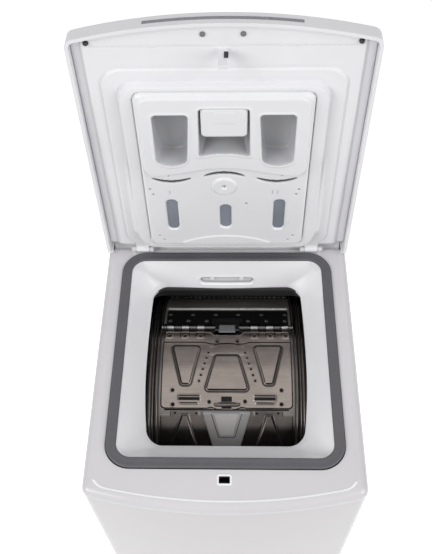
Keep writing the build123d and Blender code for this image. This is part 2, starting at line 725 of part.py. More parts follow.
def belt_face(grow):
    """The belt's side outline round both pulleys, grown by its thickness."""
    big = Pos(0, AXIS_Z) * Circle(PULLEY_R + FIT + grow)
    small = Pos(MOTOR_Y, MOTOR_Z) * Circle(MOTOR_PULLEY_R + FIT + grow)
    return make_hull((big + small).edges())


def drive_belt():
    """The ribbed belt as one closed band, a hair clear of both pulleys."""
    x0 = PULLEY_X0 + 1
    band = extrude(Plane.YZ.offset(x0) * belt_face(BELT_T), PULLEY_W - 2)
    return band - extrude(Plane.YZ.offset(x0 - 1) * belt_face(0), PULLEY_W)


def pump_mouth():
    """Y of the filter barrel's open front."""
    return door_pin()[1] + 11


def pump():
    """The drain pump: filter barrel, foot, chamber, and its inlet and outlet stubs."""
    y0 = pump_mouth()
    y1 = y0 + PUMP_STUB
    body = rod_y(y0, y0 + 75, DOOR_X, FILTER_Z, FILTER_R + 3)
    body += rod_y(y0 + 75, y0 + 130, DOOR_X, FILTER_Z, 24)
    body += block(DOOR_X - 32, DOOR_X + 32, y1 - 12, y1 + 12, BASE_Z + BASE_WALL, FILTER_Z - FILTER_R)
    body += rod_z(FILTER_Z, FILTER_Z + FILTER_R + 8, DOOR_X - 10, y1, 16)
    body += rod_x(DOOR_X - 52, DOOR_X, y1, FILTER_Z, 11)
    body -= rod_z(FILTER_Z, FILTER_Z + FILTER_R + 9, DOOR_X - 10, y1, 13)
    body -= rod_x(DOOR_X - 53, DOOR_X, y1, FILTER_Z, 8)
    return body - rod_y(y0 - 1, y0 + 60, DOOR_X, FILTER_Z, FILTER_R)


def filter_cap():
    """The screw-in filter: cap, grip bar and strainer barrel."""
    y0 = pump_mouth()
    cap = rod_y(y0 + 1, y0 + 30, DOOR_X, FILTER_Z, FILTER_R - RUN)
    cap -= rod_y(y0 + 12, y0 + 31, DOOR_X, FILTER_Z, FILTER_R - 4)
    grip = block(DOOR_X - 22, DOOR_X + 22, y0 - 8, y0 + 2, FILTER_Z - 4, FILTER_Z + 4)
    return cap + grip


def hose(points, bend, r, bore):
    """A hollow hose along straight runs with rounded bends."""
    path = FilletPolyline(*points, radius=bend)
    start = Plane(origin=path @ 0, z_dir=path % 0)
    return sweep(start * Circle(r), path=path) - sweep(start * Circle(bore), path=path)


def inner_hoses():
    """Inside hoses: sump to pump, pump to the drain stub, inlet valve to the spray bar."""
    y_pump = pump_mouth() + PUMP_STUB
    x_pump = DOOR_X - 10
    run_z = FILTER_Z + FILTER_R + 33
    sump = hose([(60, 0, SUMP_Z - 16), (60, 0, run_z), (x_pump, y_pump, run_z),
                 (x_pump, y_pump, FILTER_Z + FILTER_R + 8)], 22, 19, 15.5)
    drain = hose([(DOOR_X - 52, y_pump, FILTER_Z), (DRAIN_X, y_pump, FILTER_Z),
                  (DRAIN_X, REAR_Y - 26, FILTER_Z), (DRAIN_X, REAR_Y - 26, DRAIN_Z),
                  (DRAIN_X, REAR_Y - SHEET, DRAIN_Z)], 14, 11, 8)
    stub = rod_y(REAR_Y - SHEET, REAR_Y, DRAIN_X, DRAIN_Z, DRAIN_R + 2)
    stub += rod_y(REAR_Y, REAR_Y + 2, DRAIN_X, DRAIN_Z, DRAIN_R + 5)
    stub += rod_y(REAR_Y, REAR_Y + FITTING_REACH, DRAIN_X, DRAIN_Z, DRAIN_R)
    drain += stub - rod_y(REAR_Y - 3, REAR_Y + FITTING_REACH + 1, DRAIN_X, DRAIN_Z, 8)
    fill = hose([(INLET_X, REAR_Y - 52, INLET_Z), (INLET_X, REAR_Y - 83, INLET_Z),
                 (-30, LIP_REAR + 58, NOZZLE_Z), (-30, LIP_REAR + 35, NOZZLE_Z)], 9, 7, 5)
    return group([sump, drain, fill])


def inlet_valve():
    """The water inlet valve, its threaded stub reaching through the back."""
    body = block(INLET_X - 18, INLET_X + 18, REAR_Y - 43, REAR_Y - SHEET, INLET_Z - 18, INLET_Z + 18)
    body += rod_y(REAR_Y - 8, REAR_Y, INLET_X, INLET_Z, INLET_R + 3)
    body += rod_y(REAR_Y - 8, REAR_Y + FITTING_REACH, INLET_X, INLET_Z, INLET_R)
    body -= rod_y(REAR_Y - 6, REAR_Y + FITTING_REACH + 1, INLET_X, INLET_Z, 9.5)
    return body + rod_y(REAR_Y - 52, REAR_Y - 43, INLET_X, INLET_Z, 6)


def mains_gland():
    """The moulded gland in the back where a mains cord would leave."""
    gland = rod_y(REAR_Y, REAR_Y + FITTING_REACH, GLAND_X, GLAND_Z, 11)
    gland += rod_y(REAR_Y - SHEET, REAR_Y, GLAND_X, GLAND_Z, GLAND_R)
    gland += rod_y(REAR_Y - SHEET - 6, REAR_Y - SHEET, GLAND_X, GLAND_Z, 10)
    return gland - rod_y(REAR_Y - SHEET - 7, REAR_Y + FITTING_REACH + 1, GLAND_X, GLAND_Z, CORD_BORE_R)


# Drum

def drum_shell():
    """The drum's rolled sheet with its mouth, its rims and the fixed hinge eyes."""
    shell = rod_x(-DRUM_HALF, DRUM_HALF, 0, AXIS_Z, DRUM_R)
    for side in (-1, 1):
        for x0, x1 in ((DRUM_HALF - 5, DRUM_HALF), (DRUM_HALF - 17, DRUM_HALF - 13)):
            low, high = sorted((side * x0, side * x1))
            shell += rod_x(low, high, 0, AXIS_Z, DRUM_R + 2)
    shell -= rod_x(-DRUM_HALF - 1, DRUM_HALF + 1, 0, AXIS_Z, DRUM_R - DRUM_SHEET)
    y0 = on_drum(DRUM_R, MOUTH_FRONT)[0]
    y1 = on_drum(DRUM_R, MOUTH_REAR)[0]
    shell -= block(-MOUTH_HALF, MOUTH_HALF, y0, y1, AXIS_Z, AXIS_Z + DRUM_R + 5)
    for angle, away in ((ROD_REAR, 3.0), (ROD_FRONT, -3.0)):
        for low, high in knuckle_spans(0):
            eye = knuckle(angle, low, high)
            eye += flap_arc(DRUM_R - 0.5, DRUM_R + FIT + FLAP_T, angle, angle + away, low, high)
            shell += eye - knuckle_bore(angle, low, high, 0)
    return shell


def knuckle_spans(odd):
    """X ranges of every second eye along a hinge rod."""
    pitch = 2 * FLAP_HALF / KNUCKLES
    spans = []
    for i in range(odd, KNUCKLES, 2):
        if i not in (5, 6):
            x = -FLAP_HALF + i * pitch
            spans.append((x + 0.3, x + pitch - 0.3))
    return spans


def rod_centre(angle):
    """Y and Z of a flap's hinge rod."""
    return on_drum(DRUM_R + FIT + FLAP_T + KNUCKLE_R - 0.8, angle)


def knuckle(angle, low, high):
    """One hinge eye, before its bore."""
    y, z = rod_centre(angle)
    return rod_x(low, high, y, z, KNUCKLE_R)


def knuckle_bore(angle, low, high, play):
    """The bore of one hinge eye, with some play round the rod."""
    y, z = rod_centre(angle)
    return rod_x(low - 1, high + 1, y, z, ROD_R + play)


def hinge_rods():
    """The two hinge rods of the drum flaps, a hair short of their end eyes."""
    rods = []
    for angle in (ROD_REAR, ROD_FRONT):
        y, z = rod_centre(angle)
        rod = rod_x(-FLAP_HALF - 3, FLAP_HALF + 3, y, z, ROD_R)
        for x in (-FLAP_HALF - 3, FLAP_HALF + 0.5):
            rod += rod_x(x, x + 2.5, y, z, ROD_R + 1.2)
        rods.append(rod)
    return group(rods)


def drum_flap(rod_angle, edge_angle, toward):
    """A curved flap: its sheet, stiffening hem and hinge eyes."""
    r0 = DRUM_R + FIT
    start = rod_angle + toward * 1.0
    flap = flap_arc(r0, r0 + FLAP_T, start, edge_angle, -FLAP_HALF, FLAP_HALF)
    for low, high in knuckle_spans(1):
        eye = knuckle(rod_angle, low, high)
        eye += flap_arc(r0, r0 + FLAP_T, rod_angle, start + toward, low, high)
        flap += eye - knuckle_bore(rod_angle, low, high, RUN)
    return flap


def rear_flap():
    """The longer flap, hinged at the back of the drum's mouth."""
    flap = drum_flap(ROD_REAR, MEET + MEET_GAP / 2, -1)
    notch = HINGE_BLOCK_HALF + 0.6
    flap -= sector(DRUM_R, DRUM_R + 4, ROD_REAR - 2.6, ROD_REAR, -notch, notch)
    y, z = on_drum(DRUM_R + FIT + FLAP_T + 1.5, MEET + 1.6)
    return flap + rod_x(-19, 19, y, z, 1.6)


def front_flap():
    """The shorter flap, holed under its release button."""
    flap = drum_flap(ROD_FRONT, MEET - MEET_GAP / 2, 1)
    return flap - button_prism(0.6)


def button_plane():
    """A plane on the drum's skin under the release button, square to its stroke."""
    angle = radians(BUTTON_ANGLE)
    y, z = on_drum(DRUM_R, BUTTON_ANGLE)
    return Plane(origin=(0, y, z), x_dir=(1, 0, 0), z_dir=(0, sin(angle), cos(angle)))


def taper(half_top, half_low, top, low):
    """A tapering outline on the button's plane, as a prism along the stroke."""
    points = [(half_top, top), (-half_top, top), (-half_low, low), (half_low, low)]
    prism_piece = extrude(make_face(Polyline(*points, close=True)), 30, both=True)
    return button_plane() * prism_piece


def button_prism(grow):
    """The release button's tapering outline along its stroke, grown by a gap."""
    reach = 18 * TUB_SCALE + grow
    return taper(22 + grow, 12 + grow, reach, -reach)


def flap_carrier():
    """The grey tapering plate on the front flap round the release button."""
    r0 = DRUM_R + FIT + FLAP_T
    plate = sector(r0, r0 + CARRIER_T, ROD_FRONT + 3.0, MEET - 0.9, -42, 42)
    return (plate & taper(41, 18, 24 * TUB_SCALE, -40 * TUB_SCALE)) - button_prism(0.5)


def flap_button():
    """The release button: a curved tapering key with its flange inside the drum."""
    r0 = DRUM_R - 3 - BUTTON_TRAVEL
    key = sector(r0 + 2, DRUM_R + FIT + FLAP_T + CARRIER_T, ROD_FRONT, MEET, -30, 30) & button_prism(0)
    return key + (sector(r0, r0 + 2, ROD_FRONT, MEET, -30, 30) & button_prism(2))


def hinge_block():
    """The grey plastic block in the middle of the rear hinge."""
    r0 = DRUM_R + 0.2
    half = HINGE_BLOCK_HALF
    block_piece = sector(r0, r0 + 8, ROD_REAR - 1.0, ROD_REAR + 5.0, -half, half)
    frame = sector(r0, r0 + 3, ROD_REAR + 3.2, ROD_REAR + 6.4, -27, 27)
    y, z = rod_centre(ROD_REAR)
    return block_piece + frame - rod_x(-30, 30, y, z, ROD_R)


def drum_ends():
    """The two end discs of the drum, with their hubs."""
    disc = rod_x(END_X, END_X + 1.5, 0, AXIS_Z, DRUM_R - DRUM_SHEET - 0.1)
    disc += rod_x(END_X - 6, END_X + 1.5, 0, AXIS_Z, 60)
    return group(mirrored(disc))


def drum_shafts():
    """The three-armed carriers behind the drum's ends, with their stub shafts."""
    x0 = END_X + 1.5
    carrier = rod_x(x0, x0 + 14, 0, AXIS_Z, 38)
    for arm in range(3):
        bar = block(x0, x0 + 9, -14, 14, 0, DRUM_R - 4)
        carrier += Pos(0, 0, AXIS_Z) * Rot(60 + 120 * arm, 0, 0) * bar
    left = mirror(carrier, about=Plane.YZ) + rod_x(-HUB_X + 1, -x0 - 1, 0, AXIS_Z, SHAFT_R)
    right = carrier + rod_x(x0 + 1, SHAFT_END, 0, AXIS_Z, SHAFT_R)
    return group([left, right])


def drum_paddles():
    """Three hollow-looking lifters along the inside of the drum."""
    top = DRUM_R - DRUM_SHEET - PADDLE_H
    points = [(-34, DRUM_R), (34, DRUM_R), (14, top), (-14, top)]
    profile = Plane.YZ * make_face(Polyline(*points, close=True))
    bar = extrude(profile, PADDLE_HALF, both=True)
    inside = rod_x(-DRUM_HALF, DRUM_HALF, 0, AXIS_Z, DRUM_R - DRUM_SHEET - FIT)
    pieces = []
    for angle in PADDLE_ANGLES:
        pieces.append((Pos(0, 0, AXIS_Z) * Rot(-angle, 0, 0) * bar) & inside)
    return group(pieces)


def drum_pulley():
    """The drum's belt pulley: rim, six spokes and hub."""
    x0, x1 = PULLEY_X0, PULLEY_X0 + PULLEY_W
    wheel = rod_x(x0, x1, 0, AXIS_Z, PULLEY_R) - rod_x(x0 - 1, x1 + 1, 0, AXIS_Z, PULLEY_R - 7)
    for spoke in range(6):
        bar = block(x0 + 4, x1 - 4, -7, 7, 12, PULLEY_R - 4)
        wheel += Pos(0, 0, AXIS_Z) * Rot(60 * spoke, 0, 0) * bar
    wheel += rod_x(x0 - 1, x1 + 1, 0, AXIS_Z, 26)
    return wheel - rod_x(x0 - 2, x1 + 3, 0, AXIS_Z, SHAFT_R)


# Lid pieces, modelled shut

def lid_y(reach):
    """Y, with the lid shut, of a place at this reach from the hinge line."""
    return LID_Y0 - reach


def lid_z(face):
    """Z, with the lid shut, of a level that stands this far below the lid's rim."""
    return TOP_Z + LID_GAP - face


def opened(piece):
    """A lid piece turned from shut to its open stop."""
    return piece.rotate(Axis((0, HINGE_Y, HINGE_Z), (1, 0, 0)), -LID_OPEN)


def trim_zone(grow):
    """The band round the lid's front that the grey trim fills."""
    band = prism(plan(-1, 0, 13), lid_z(-0.8), lid_z(-LID_H + 4.5 - grow))
    band -= prism(plan(LID_WALL + grow, 1, 10), lid_z(0), lid_z(-LID_H))
    return band & block(-HALF - 2, HALF + 2, FRONT_Y - 2, lid_y(LID_REACH - 45) + grow, 0, 2 * TOP_Z)


def lid_outer():
    """The lid's white skin: skirt, rounded top edge and the rolled lip at its back."""
    z0, z1 = lid_z(0), lid_z(-LID_H)
    rear = HINGE_Y + 2.5
    body = prism(plan(0, rear), z0, z1)
    rim = body.faces().sort_by(Axis.Z)[-1].edges()
    body = fillet([e for e in rim if e.center().Y < rear - 1], LID_EDGE_R)
    body -= prism(plan(LID_SKIRT, rear - LID_WALL, 9), z0 - 1, z1 - LID_WALL)
    body -= block(-LIP_HALF, LIP_HALF, HINGE_Y - 8, rear + 1, z0 - 1, z1 - LID_WALL)
    lip = rod_x(-LIP_HALF + FIT, LIP_HALF - FIT, HINGE_Y, HINGE_Z, LIP_R)
    lip -= rod_x(-LIP_HALF, LIP_HALF, HINGE_Y, HINGE_Z, LIP_R - LID_WALL)
    lip &= block(-HALF, HALF, HINGE_Y + 0.5, HINGE_Y + 40, HINGE_Z + 7, z1 - 1)
    return body + lip - trim_zone(0)


def lid_trim():
    """The light grey trim round the lid's front edge, with the grip slot in its middle."""
    trim = trim_zone(0) & prism(plan(0, 0), 0, 2 * TOP_Z)
    return trim - grip_block(0)


def grip_block(inset):
    """The finger slot in the middle of the trim."""
    z0, z1 = lid_z(-8.5), lid_z(-15.5)
    half = 100.0 - inset
    return block(-half, half, FRONT_Y - 3, FRONT_Y + 22, z0 + inset, z1 - inset)


def grip_insert():
    """The dark ribbed insert at the bottom of the finger slot."""
    insert = grip_block(0.15) & prism(plan(0.9, 0, 12), 0, 2 * TOP_Z)
    return insert - prism(plan(LID_WALL, 1, 10), 0, 2 * TOP_Z)


def step_slab(level, inset, z1):
    """One level of the lining as a block from its face up to z1, drawn in by inset."""
    high = STEP_HIGH[level] or LID_Y0 - FRONT_Y - BOW - LID_SKIRT - 3
    half = STEP_HALF[level]
    return slab(-half + inset, half - inset, lid_y(high) + inset, lid_y(STEP_LOW[level]) - inset,
                lid_z(STEP_FACE[level]) + inset, z1, STEP_R[level])


def lid_liner():
    """The stepped lining under the lid, with the tray's opening and the hinge eyes."""
    top = lid_z(STEP_FACE[0]) + LINING
    liner = step_slab(0, 0, top)
    bowed = prism(plan(LID_SKIRT + 1, lid_y(LID_REACH - 65), 6), lid_z(STEP_FACE[0]), top)
    liner += bowed & block(-STEP_HALF[0], STEP_HALF[0], FRONT_Y, lid_y(LID_REACH - 65), 0, 2 * TOP_Z)
    for level in (1, 2):
        liner += step_slab(level, 0, top)
    for level in (1, 2):
        liner -= step_slab(level, LINING, top + 1)
    gap = TRAY_PULL_ROOM
    for side in (-1, 1):
        low, high = sorted((side * (KNUCKLE_X0 + FIT), side * (KNUCKLE_X1 - FIT)))
        eye = rod_x(low, high, HINGE_Y, HINGE_Z, EAR_R)
        eye += block(low, high, lid_y(STEP_LOW[0] + 3), HINGE_Y, HINGE_Z + 0.5, HINGE_Z + 5)
        liner += eye - rod_x(low - 1, high + 1, HINGE_Y, HINGE_Z, PIN_R + RUN)
    return liner - slab(-TRAY_HALF - gap, TRAY_HALF + gap, lid_y(TRAY_HIGH) - gap,
                        lid_y(TRAY_LOW) + gap, lid_z(30), top + 1, TRAY_R)


def lid_ribs():
    """Ribs inside the skin that carry the lining."""
    z0 = lid_z(STEP_FACE[0]) + LINING
    z1 = lid_z(-LID_H) - LID_WALL + 0.5
    ribs = []
    for x in (-150.0, 150.0):
        ribs.append(block(x - 1.2, x + 1.2, lid_y(LID_REACH - 95), lid_y(40), z0, z1))
    ribs.append(block(-140, 140, lid_y(LID_REACH - 45) - 1.2, lid_y(LID_REACH - 45) + 1.2, z0, z1))
    return ribs


def hinge_pins():
    """The lid's two hinge pins, held in the top's ears."""
    x0 = KNUCKLE_X0 - FIT - EAR_T
    x1 = KNUCKLE_X1 + FIT + EAR_T
    return group(mirrored(rod_x(x0, x1, HINGE_Y, HINGE_Z, PIN_R)))


def lid_hook():
    """The hook that drops into the lock: stem plate and barb."""
    y = lid_y(LID_REACH - 44)
    z1 = lid_z(STEP_FACE[0])
    hook = block(-6, 6, y - 3, y + 1, z1 - 35, z1)
    hook += block(-6, 6, y + 1, y + 4, z1 - 35, z1 - 31)
    return hook + block(-7, 7, y - 3, y + 4, z1 - 4, z1)


def lid_buffers():
    """Two round rubber buffers at the lid's front corners."""
    z1 = lid_z(STEP_FACE[0])
    return group([rod_z(z1 - 8.2, z1, x, lid_y(LID_REACH - 31), 4.5) for x in (28 - HALF, HALF - 28)])


def lid_screws():
    """Two screws in front of the hook and the one in the tray's boss."""
    z1 = lid_z(STEP_FACE[0])
    return group([rod_z(z1 - 2, z1, x, lid_y(LID_REACH - 20), 3.6) for x in (-25.4, 25.4)])


def dispenser_tray():
    """The detergent tray: raised upper part, three pockets and their lower chambers."""
    face, back = lid_z(TRAY_FACE), lid_z(TRAY_BACK)
    low, high = lid_y(TRAY_HIGH), lid_y(TRAY_LOW)
    step = lid_y(TRAY_STEP_AT)
    tray = slab(-TRAY_HALF, TRAY_HALF, low, high, face, back, TRAY_R)
    tray -= block(-TRAY_HALF - 1, TRAY_HALF + 1, step, high + 1, face - 1, face + TRAY_STEP)
    floor = back - TRAY_WALL
    roof = face + TRAY_STEP + TRAY_WALL
    spans = [(-POCKET_X1, -POCKET_X0, POCKET_LOW, POCKET_HIGH),
             (-CENTRE_HALF, CENTRE_HALF, CENTRE_LOW, CENTRE_HIGH),
             (POCKET_X0, POCKET_X1, POCKET_LOW, POCKET_HIGH)]
    for x0, x1, reach0, reach1 in spans:
        tray -= slab(x0, x1, lid_y(reach1), lid_y(reach0), face - 1, floor, 6)
        tray -= block(x0, x1, lid_y(reach0 + 8), lid_y(CHAMBER_LOW), roof, floor)
    for side in (-1, 1):
        for near, far in ((CENTRE_HALF + 2.5, POCKET_X0 - 2.5), (POCKET_X1 + 2.5, TRAY_HALF - TRAY_WALL)):
            x0, x1 = sorted((side * near, side * far))
            tray -= block(x0, x1, lid_y(TRAY_HIGH - 14), lid_y(TRAY_LOW + 14), roof, back + 1)
    for x, reach0, reach1 in ((-82.0, 81.0, 149.0), (0.0, 85.0, 138.0), (82.0, 81.0, 149.0)):
        tray -= slab(x - WINDOW_W / 2, x + WINDOW_W / 2, lid_y(reach1), lid_y(reach0),
                     face + TRAY_STEP - 1, face + TRAY_STEP + 1.2, 5)
    for side in (-1, 1):
        x0, x1 = sorted((side * 31.6, side * CENTRE_HALF))
        tray -= rod_x(x0 - 3, x1 + 3, care_hinge()[0], care_hinge()[1], 1.25)
    return tray


def care_hinge():
    """Y and Z of the small flap's hinge, with the lid shut."""
    return lid_y(CENTRE_HIGH - 3), lid_z(TRAY_FACE - 1.6)


def care_flap():
    """The small flap over the middle pocket, with its two stub pins."""
    y, z = care_hinge()
    half = CENTRE_HALF - 2.5
    face = lid_z(TRAY_FACE)
    flap = block(-half, half, y, lid_y(CENTRE_HIGH - CARE_FLAP_H), face, face + CARE_FLAP_T)
    flap += rod_x(-half + 2, half - 2, y, z, 1.6)
    return flap + rod_x(-CENTRE_HALF - 2, CENTRE_HALF + 2, y, z, 1.2)


def build():
    """Every node by name."""
    right_panel = side_panel()
    end = tub_end()
    for lug in tub_lugs():
        end += lug - rod_x(0, 200, 0, AXIS_Z, TUB_R)
    panels = mirrored(right_panel)
    for bracket in spring_brackets():
        index = 0 if bracket.center().X > 0 else 1
        panels[index] = panels[index] + bracket
    skin = lid_outer()
    for rib in lid_ribs():
        skin += rib
    nodes = {
        "base_frame": base_frame(),
        "side_panels": group(panels),
        "front_panel": front_panel(),
        "rear_panel": rear_panel(),
        "top_frame": top_frame(),
        "funnel": funnel(),
        "lid_seal": lid_seal(),
        "bellows": bellows(),
        "water_nozzle": water_nozzle(),
        "door_lock": door_lock(),
        "console_body": console_body(),
        "console_fascia": console_fascia(),
        "display_window": display_window(),
        "control_board": control_board(),
        "program_knob": program_knob(),
        "filter_door": filter_door(),
        "filter_door_frame": door_frame(),
        "filter_cap": filter_cap(),
        "drain_pump": pump(),
        "inner_hoses": inner_hoses(),
        "inlet_valve": inlet_valve(),
        "mains_gland": mains_gland(),
        "foot_left": foot(-FOOT_X, FOOT_FRONT_Y),
        "foot_right": foot(FOOT_X, FOOT_FRONT_Y),
        "rear_feet": group([foot(-FOOT_X, FOOT_REAR_Y), foot(FOOT_X, FOOT_REAR_Y)]),
        "tub_barrel": tub_barrel(),
        "tub_ends": group(mirrored(end)),
        "bearings": group(mirrored(bearing())),
        "counterweights": counterweights(),
        "heater": heater(),
        "suspension_springs": suspension_springs(),
        "dampers": dampers(),
        "motor": motor(),
        "motor_pulley": motor_pulley(),
        "drive_belt": drive_belt(),
        "drum_shell": drum_shell(),
        "drum_ends": drum_ends(),
        "drum_shafts": drum_shafts(),
        "drum_paddles": drum_paddles(),
        "drum_pulley": drum_pulley(),
        "hinge_rods": hinge_rods(),
        "hinge_block": hinge_block(),
        "rear_flap": rear_flap(),
        "front_flap": front_flap(),
        "flap_carrier": flap_carrier(),
        "flap_button": flap_button(),
        "hinge_pins": hinge_pins(),
        "lid_outer": opened(skin),
        "lid_liner": opened(lid_liner()),
        "lid_trim": opened(lid_trim()),
        "grip_insert": opened(grip_insert()),
        "lid_hook": opened(lid_hook()),
        "lid_buffers": opened(lid_buffers()),
        "lid_screws": opened(lid_screws()),
        "dispenser_tray": opened(dispenser_tray()),
        "care_flap": opened(care_flap()),
    }
    for name, x in BUTTON_XS.items():
        nodes["button_" + name] = push_button(x)
    return nodes


os.makedirs("parts", exist_ok=True)
for name, shape in build().items():
    export_step(shape, "parts/" + name + ".step")
    print(name, len(shape.solids()), "solids")
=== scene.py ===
# %% [markdown]
# # A narrow top-loading washing machine with its lid open
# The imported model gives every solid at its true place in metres. This lesson dresses it: it keeps the
# solids whose shape is right, lays finer pressed and moulded surfaces over the rest, and gives every piece
# a material. Lengths are written in millimetres, as on a drawing, and turned into metres when a mesh is
# made.

# %% Load the frame
import math
import bpy
import numpy as np
from mathutils import Matrix, Vector


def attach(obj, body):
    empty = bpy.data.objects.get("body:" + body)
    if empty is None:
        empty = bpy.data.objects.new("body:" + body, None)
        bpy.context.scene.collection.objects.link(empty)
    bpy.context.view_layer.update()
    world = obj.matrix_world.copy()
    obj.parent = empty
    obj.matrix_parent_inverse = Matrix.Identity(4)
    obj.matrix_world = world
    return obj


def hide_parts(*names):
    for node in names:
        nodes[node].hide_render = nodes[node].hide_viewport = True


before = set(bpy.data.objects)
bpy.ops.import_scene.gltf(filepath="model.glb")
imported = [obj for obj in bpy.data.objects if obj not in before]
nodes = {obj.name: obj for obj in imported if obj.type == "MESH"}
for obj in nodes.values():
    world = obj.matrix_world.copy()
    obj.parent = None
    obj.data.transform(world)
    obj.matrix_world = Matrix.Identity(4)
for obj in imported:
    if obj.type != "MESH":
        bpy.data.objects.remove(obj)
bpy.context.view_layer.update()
MM = 0.001

# %% [markdown]
# ## Measures that several pieces share
# The top is 400 mm wide, and its front bows 25 mm forward in the middle. The lid turns about a line behind
# the opening, and its points are drawn as if it were shut, from a back line and its lower side. The drum
# lies across the machine; SKIN is the radius at which lengths along its sheet are taken.

# %% Measures
HALF, FRONT_Y, BOW, TOP_Z = 200.0, -300.0, 25.0, 820.0
HINGE_Y, HINGE_Z, LID_OPEN = 137.5, 827.4, math.radians(-93.2)
LID_BACK, LID_UNDER = 145.0, 820.6
TRAY, TRAY_CORNER = (-122.0, 122.0, 43.0, 348.5), 12.0
AXIS_Z, SKIN = 470.0, 233.5
print("lid turned by", round(math.degrees(LID_OPEN), 1), "degrees; drum", 2 * SKIN, "mm across")

# %% [markdown]
# ## The camera
# The photograph looks down into the open machine from in front, a little above the lid. Its viewpoint was
# worked out from the seal, the lid and the top's edges. A camera in Blender looks along its own -Z, with +Y
# up, so the three directions of the photograph's view go straight into its matrix.

# %% Camera
PITCH, YAW, ROLL = (math.radians(v) for v in (55.8139, 2.9211, -2.3926))
PLACE, LENS, SENSOR = Vector((18.06, -606.05, 1839.26)), 48.494, 36


def view_axes(pitch, yaw, roll):
    """Right, up and backward directions of a camera that looks down by pitch, turned by yaw and rolled."""
    turn = Matrix.Rotation(yaw, 3, "Z")
    ahead = turn @ Vector((0, math.cos(pitch), -math.sin(pitch)))
    level_up = turn @ Vector((0, math.sin(pitch), math.cos(pitch)))
    level_right = turn @ Vector((1, 0, 0))
    right = math.cos(roll) * level_right + math.sin(roll) * level_up
    up = -math.sin(roll) * level_right + math.cos(roll) * level_up
    return right, up, -ahead


camera_data = bpy.data.cameras.new("camera")
camera_data.lens = LENS
camera_data.sensor_width = SENSOR
camera = bpy.data.objects.new("camera", camera_data)
bpy.context.scene.collection.objects.link(camera)
placing = Matrix(view_axes(PITCH, YAW, ROLL)).transposed().to_4x4()
placing.translation = PLACE * MM
camera.matrix_world = placing
bpy.context.scene.camera = camera
print("camera at", [round(v, 3) for v in camera.matrix_world.translation])

# %% [markdown]
# ## Surfaces from grids
# Pressed sheet and moulded plastic are smooth fields with soft steps in them, so most pieces here are a
# grid of points whose height is a formula. The grid becomes quads in one go, and one helper makes the mesh
# into a piece of a body.

# %% Grids, meshes and pieces
def quads_of(rows, columns, wrap_rows=False, wrap_columns=False):
    """Corner numbers of every cell of a grid; wrapping joins the last row or column to the first."""
    index = np.arange(rows * columns).reshape(rows, columns)
    if wrap_rows:
        index = np.vstack([index, index[:1]])
    if wrap_columns:
        index = np.hstack([index, index[:, :1]])
    cells = (index[:-1, :-1], index[1:, :-1], index[1:, 1:], index[:-1, 1:])
    return np.stack(cells, axis=-1).reshape(-1, 4)


def new_mesh(name, points, quads, flip=False):
    """A smooth mesh from points in millimetres and rows of four corner numbers; flip turns its faces over.

    Points that no cell uses are left out. Returns the mesh and the numbers of the points it keeps."""
    used, corners = np.unique(quads[:, ::-1] if flip else quads, return_inverse=True)
    mesh = bpy.data.meshes.new(name)
    mesh.vertices.add(len(used))
    mesh.vertices.foreach_set("co", (points.reshape(-1, 3)[used] * MM).ravel())
    mesh.loops.add(corners.size)
    mesh.loops.foreach_set("vertex_index", corners.ravel().astype(np.int32))
    mesh.polygons.add(len(quads))
    mesh.polygons.foreach_set("loop_start", np.arange(0, corners.size, 4, dtype=np.int32))
    mesh.update(calc_edges=True)
    mesh.polygons.foreach_set("use_smooth", np.ones(len(quads), dtype=bool))
    print(name, len(used), "points", len(quads), "quads")
    return mesh, used


def new_piece(name, points, quads, body, slot, material=None, flip=False, **masks):
    """A piece that rides on a body, with a material, or else the finish of the record's slot.

    Each mask is one number a point, stored for the material to read through an Attribute node."""
    mesh, used = new_mesh(name, points, quads, flip)
    for label, values in masks.items():
        numbers = np.clip(values.ravel()[used], 0, 1).astype(np.float32)
        mesh.attributes.new(label, "FLOAT", "POINT").data.foreach_set("value", numbers)
    piece = bpy.data.objects.new(name, mesh)
    bpy.context.scene.collection.objects.link(piece)
    material = material or SLOTS[slot]
    for paint in (material if isinstance(material, list) else [material]):
        mesh.materials.append(paint)
    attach(piece, body)
    return piece


def cells_within(shape, distance, reach, every=False):
    """Cells of a grid of which one corner, or every corner, has a distance under reach."""
    quads = quads_of(*shape)
    near = distance.ravel()[quads] < reach
    return quads[near.all(axis=1) if every else near.any(axis=1)]


# %% [markdown]
# A signed distance to an outline, negative inside, passed through a soft ramp, gives a step with rounded
# shoulders. A groove is a ramp on both sides of the outline.

# %% Distances and ramps
def corner_distance(past_x, past_y, r):
    """Distance to a shape with corners of radius r, from how far a point lies past its sides."""
    qx, qy = past_x + r, past_y + r
    return np.hypot(np.maximum(qx, 0), np.maximum(qy, 0)) + np.minimum(np.maximum(qx, qy), 0) - r


def box_distance(x, y, x0, x1, y0, y1, r):
    """Distance to a rounded rectangle, negative inside: corner circles outside, the nearest side within."""
    return corner_distance(np.maximum(x0 - x, x - x1), np.maximum(y0 - y, y - y1), r)


def ramp(distance, width):
    """1 where the distance is under zero, falling softly to 0 at the given width outside."""
    t = np.clip(1 - distance / width, 0, 1)
    return t * t * (3 - 2 * t)


def groove(distance, half):
    """A rounded channel: 1 along distance zero, 0 beyond the half width."""
    return ramp(np.abs(distance), half)


print("ramp check", ramp(np.array([-1.0, 1.0, 3.0]), 2.0))

# %% [markdown]
# ## Shared surface effects
# Moulded plastic has a fine spark-erosion grain and very faint unevenness; lacquered sheet shows a soft
# orange peel; steel shows long brushed lines; rubber a dusty bloom. Each effect is a small node group that
# gives only what varies over the surface: a colour, a roughness and a height for the bump.

# %% Node group helpers
def linear(r, g, b):
    """A screen colour, 0 to 255, as the linear numbers that a shader wants."""
    def one(c):
        """One channel: the screen's own curve undone."""
        c = c / 255
        return c / 12.92 if c <= 0.04045 else ((c + 0.055) / 1.055) ** 2.4
    return (one(r), one(g), one(b), 1.0)


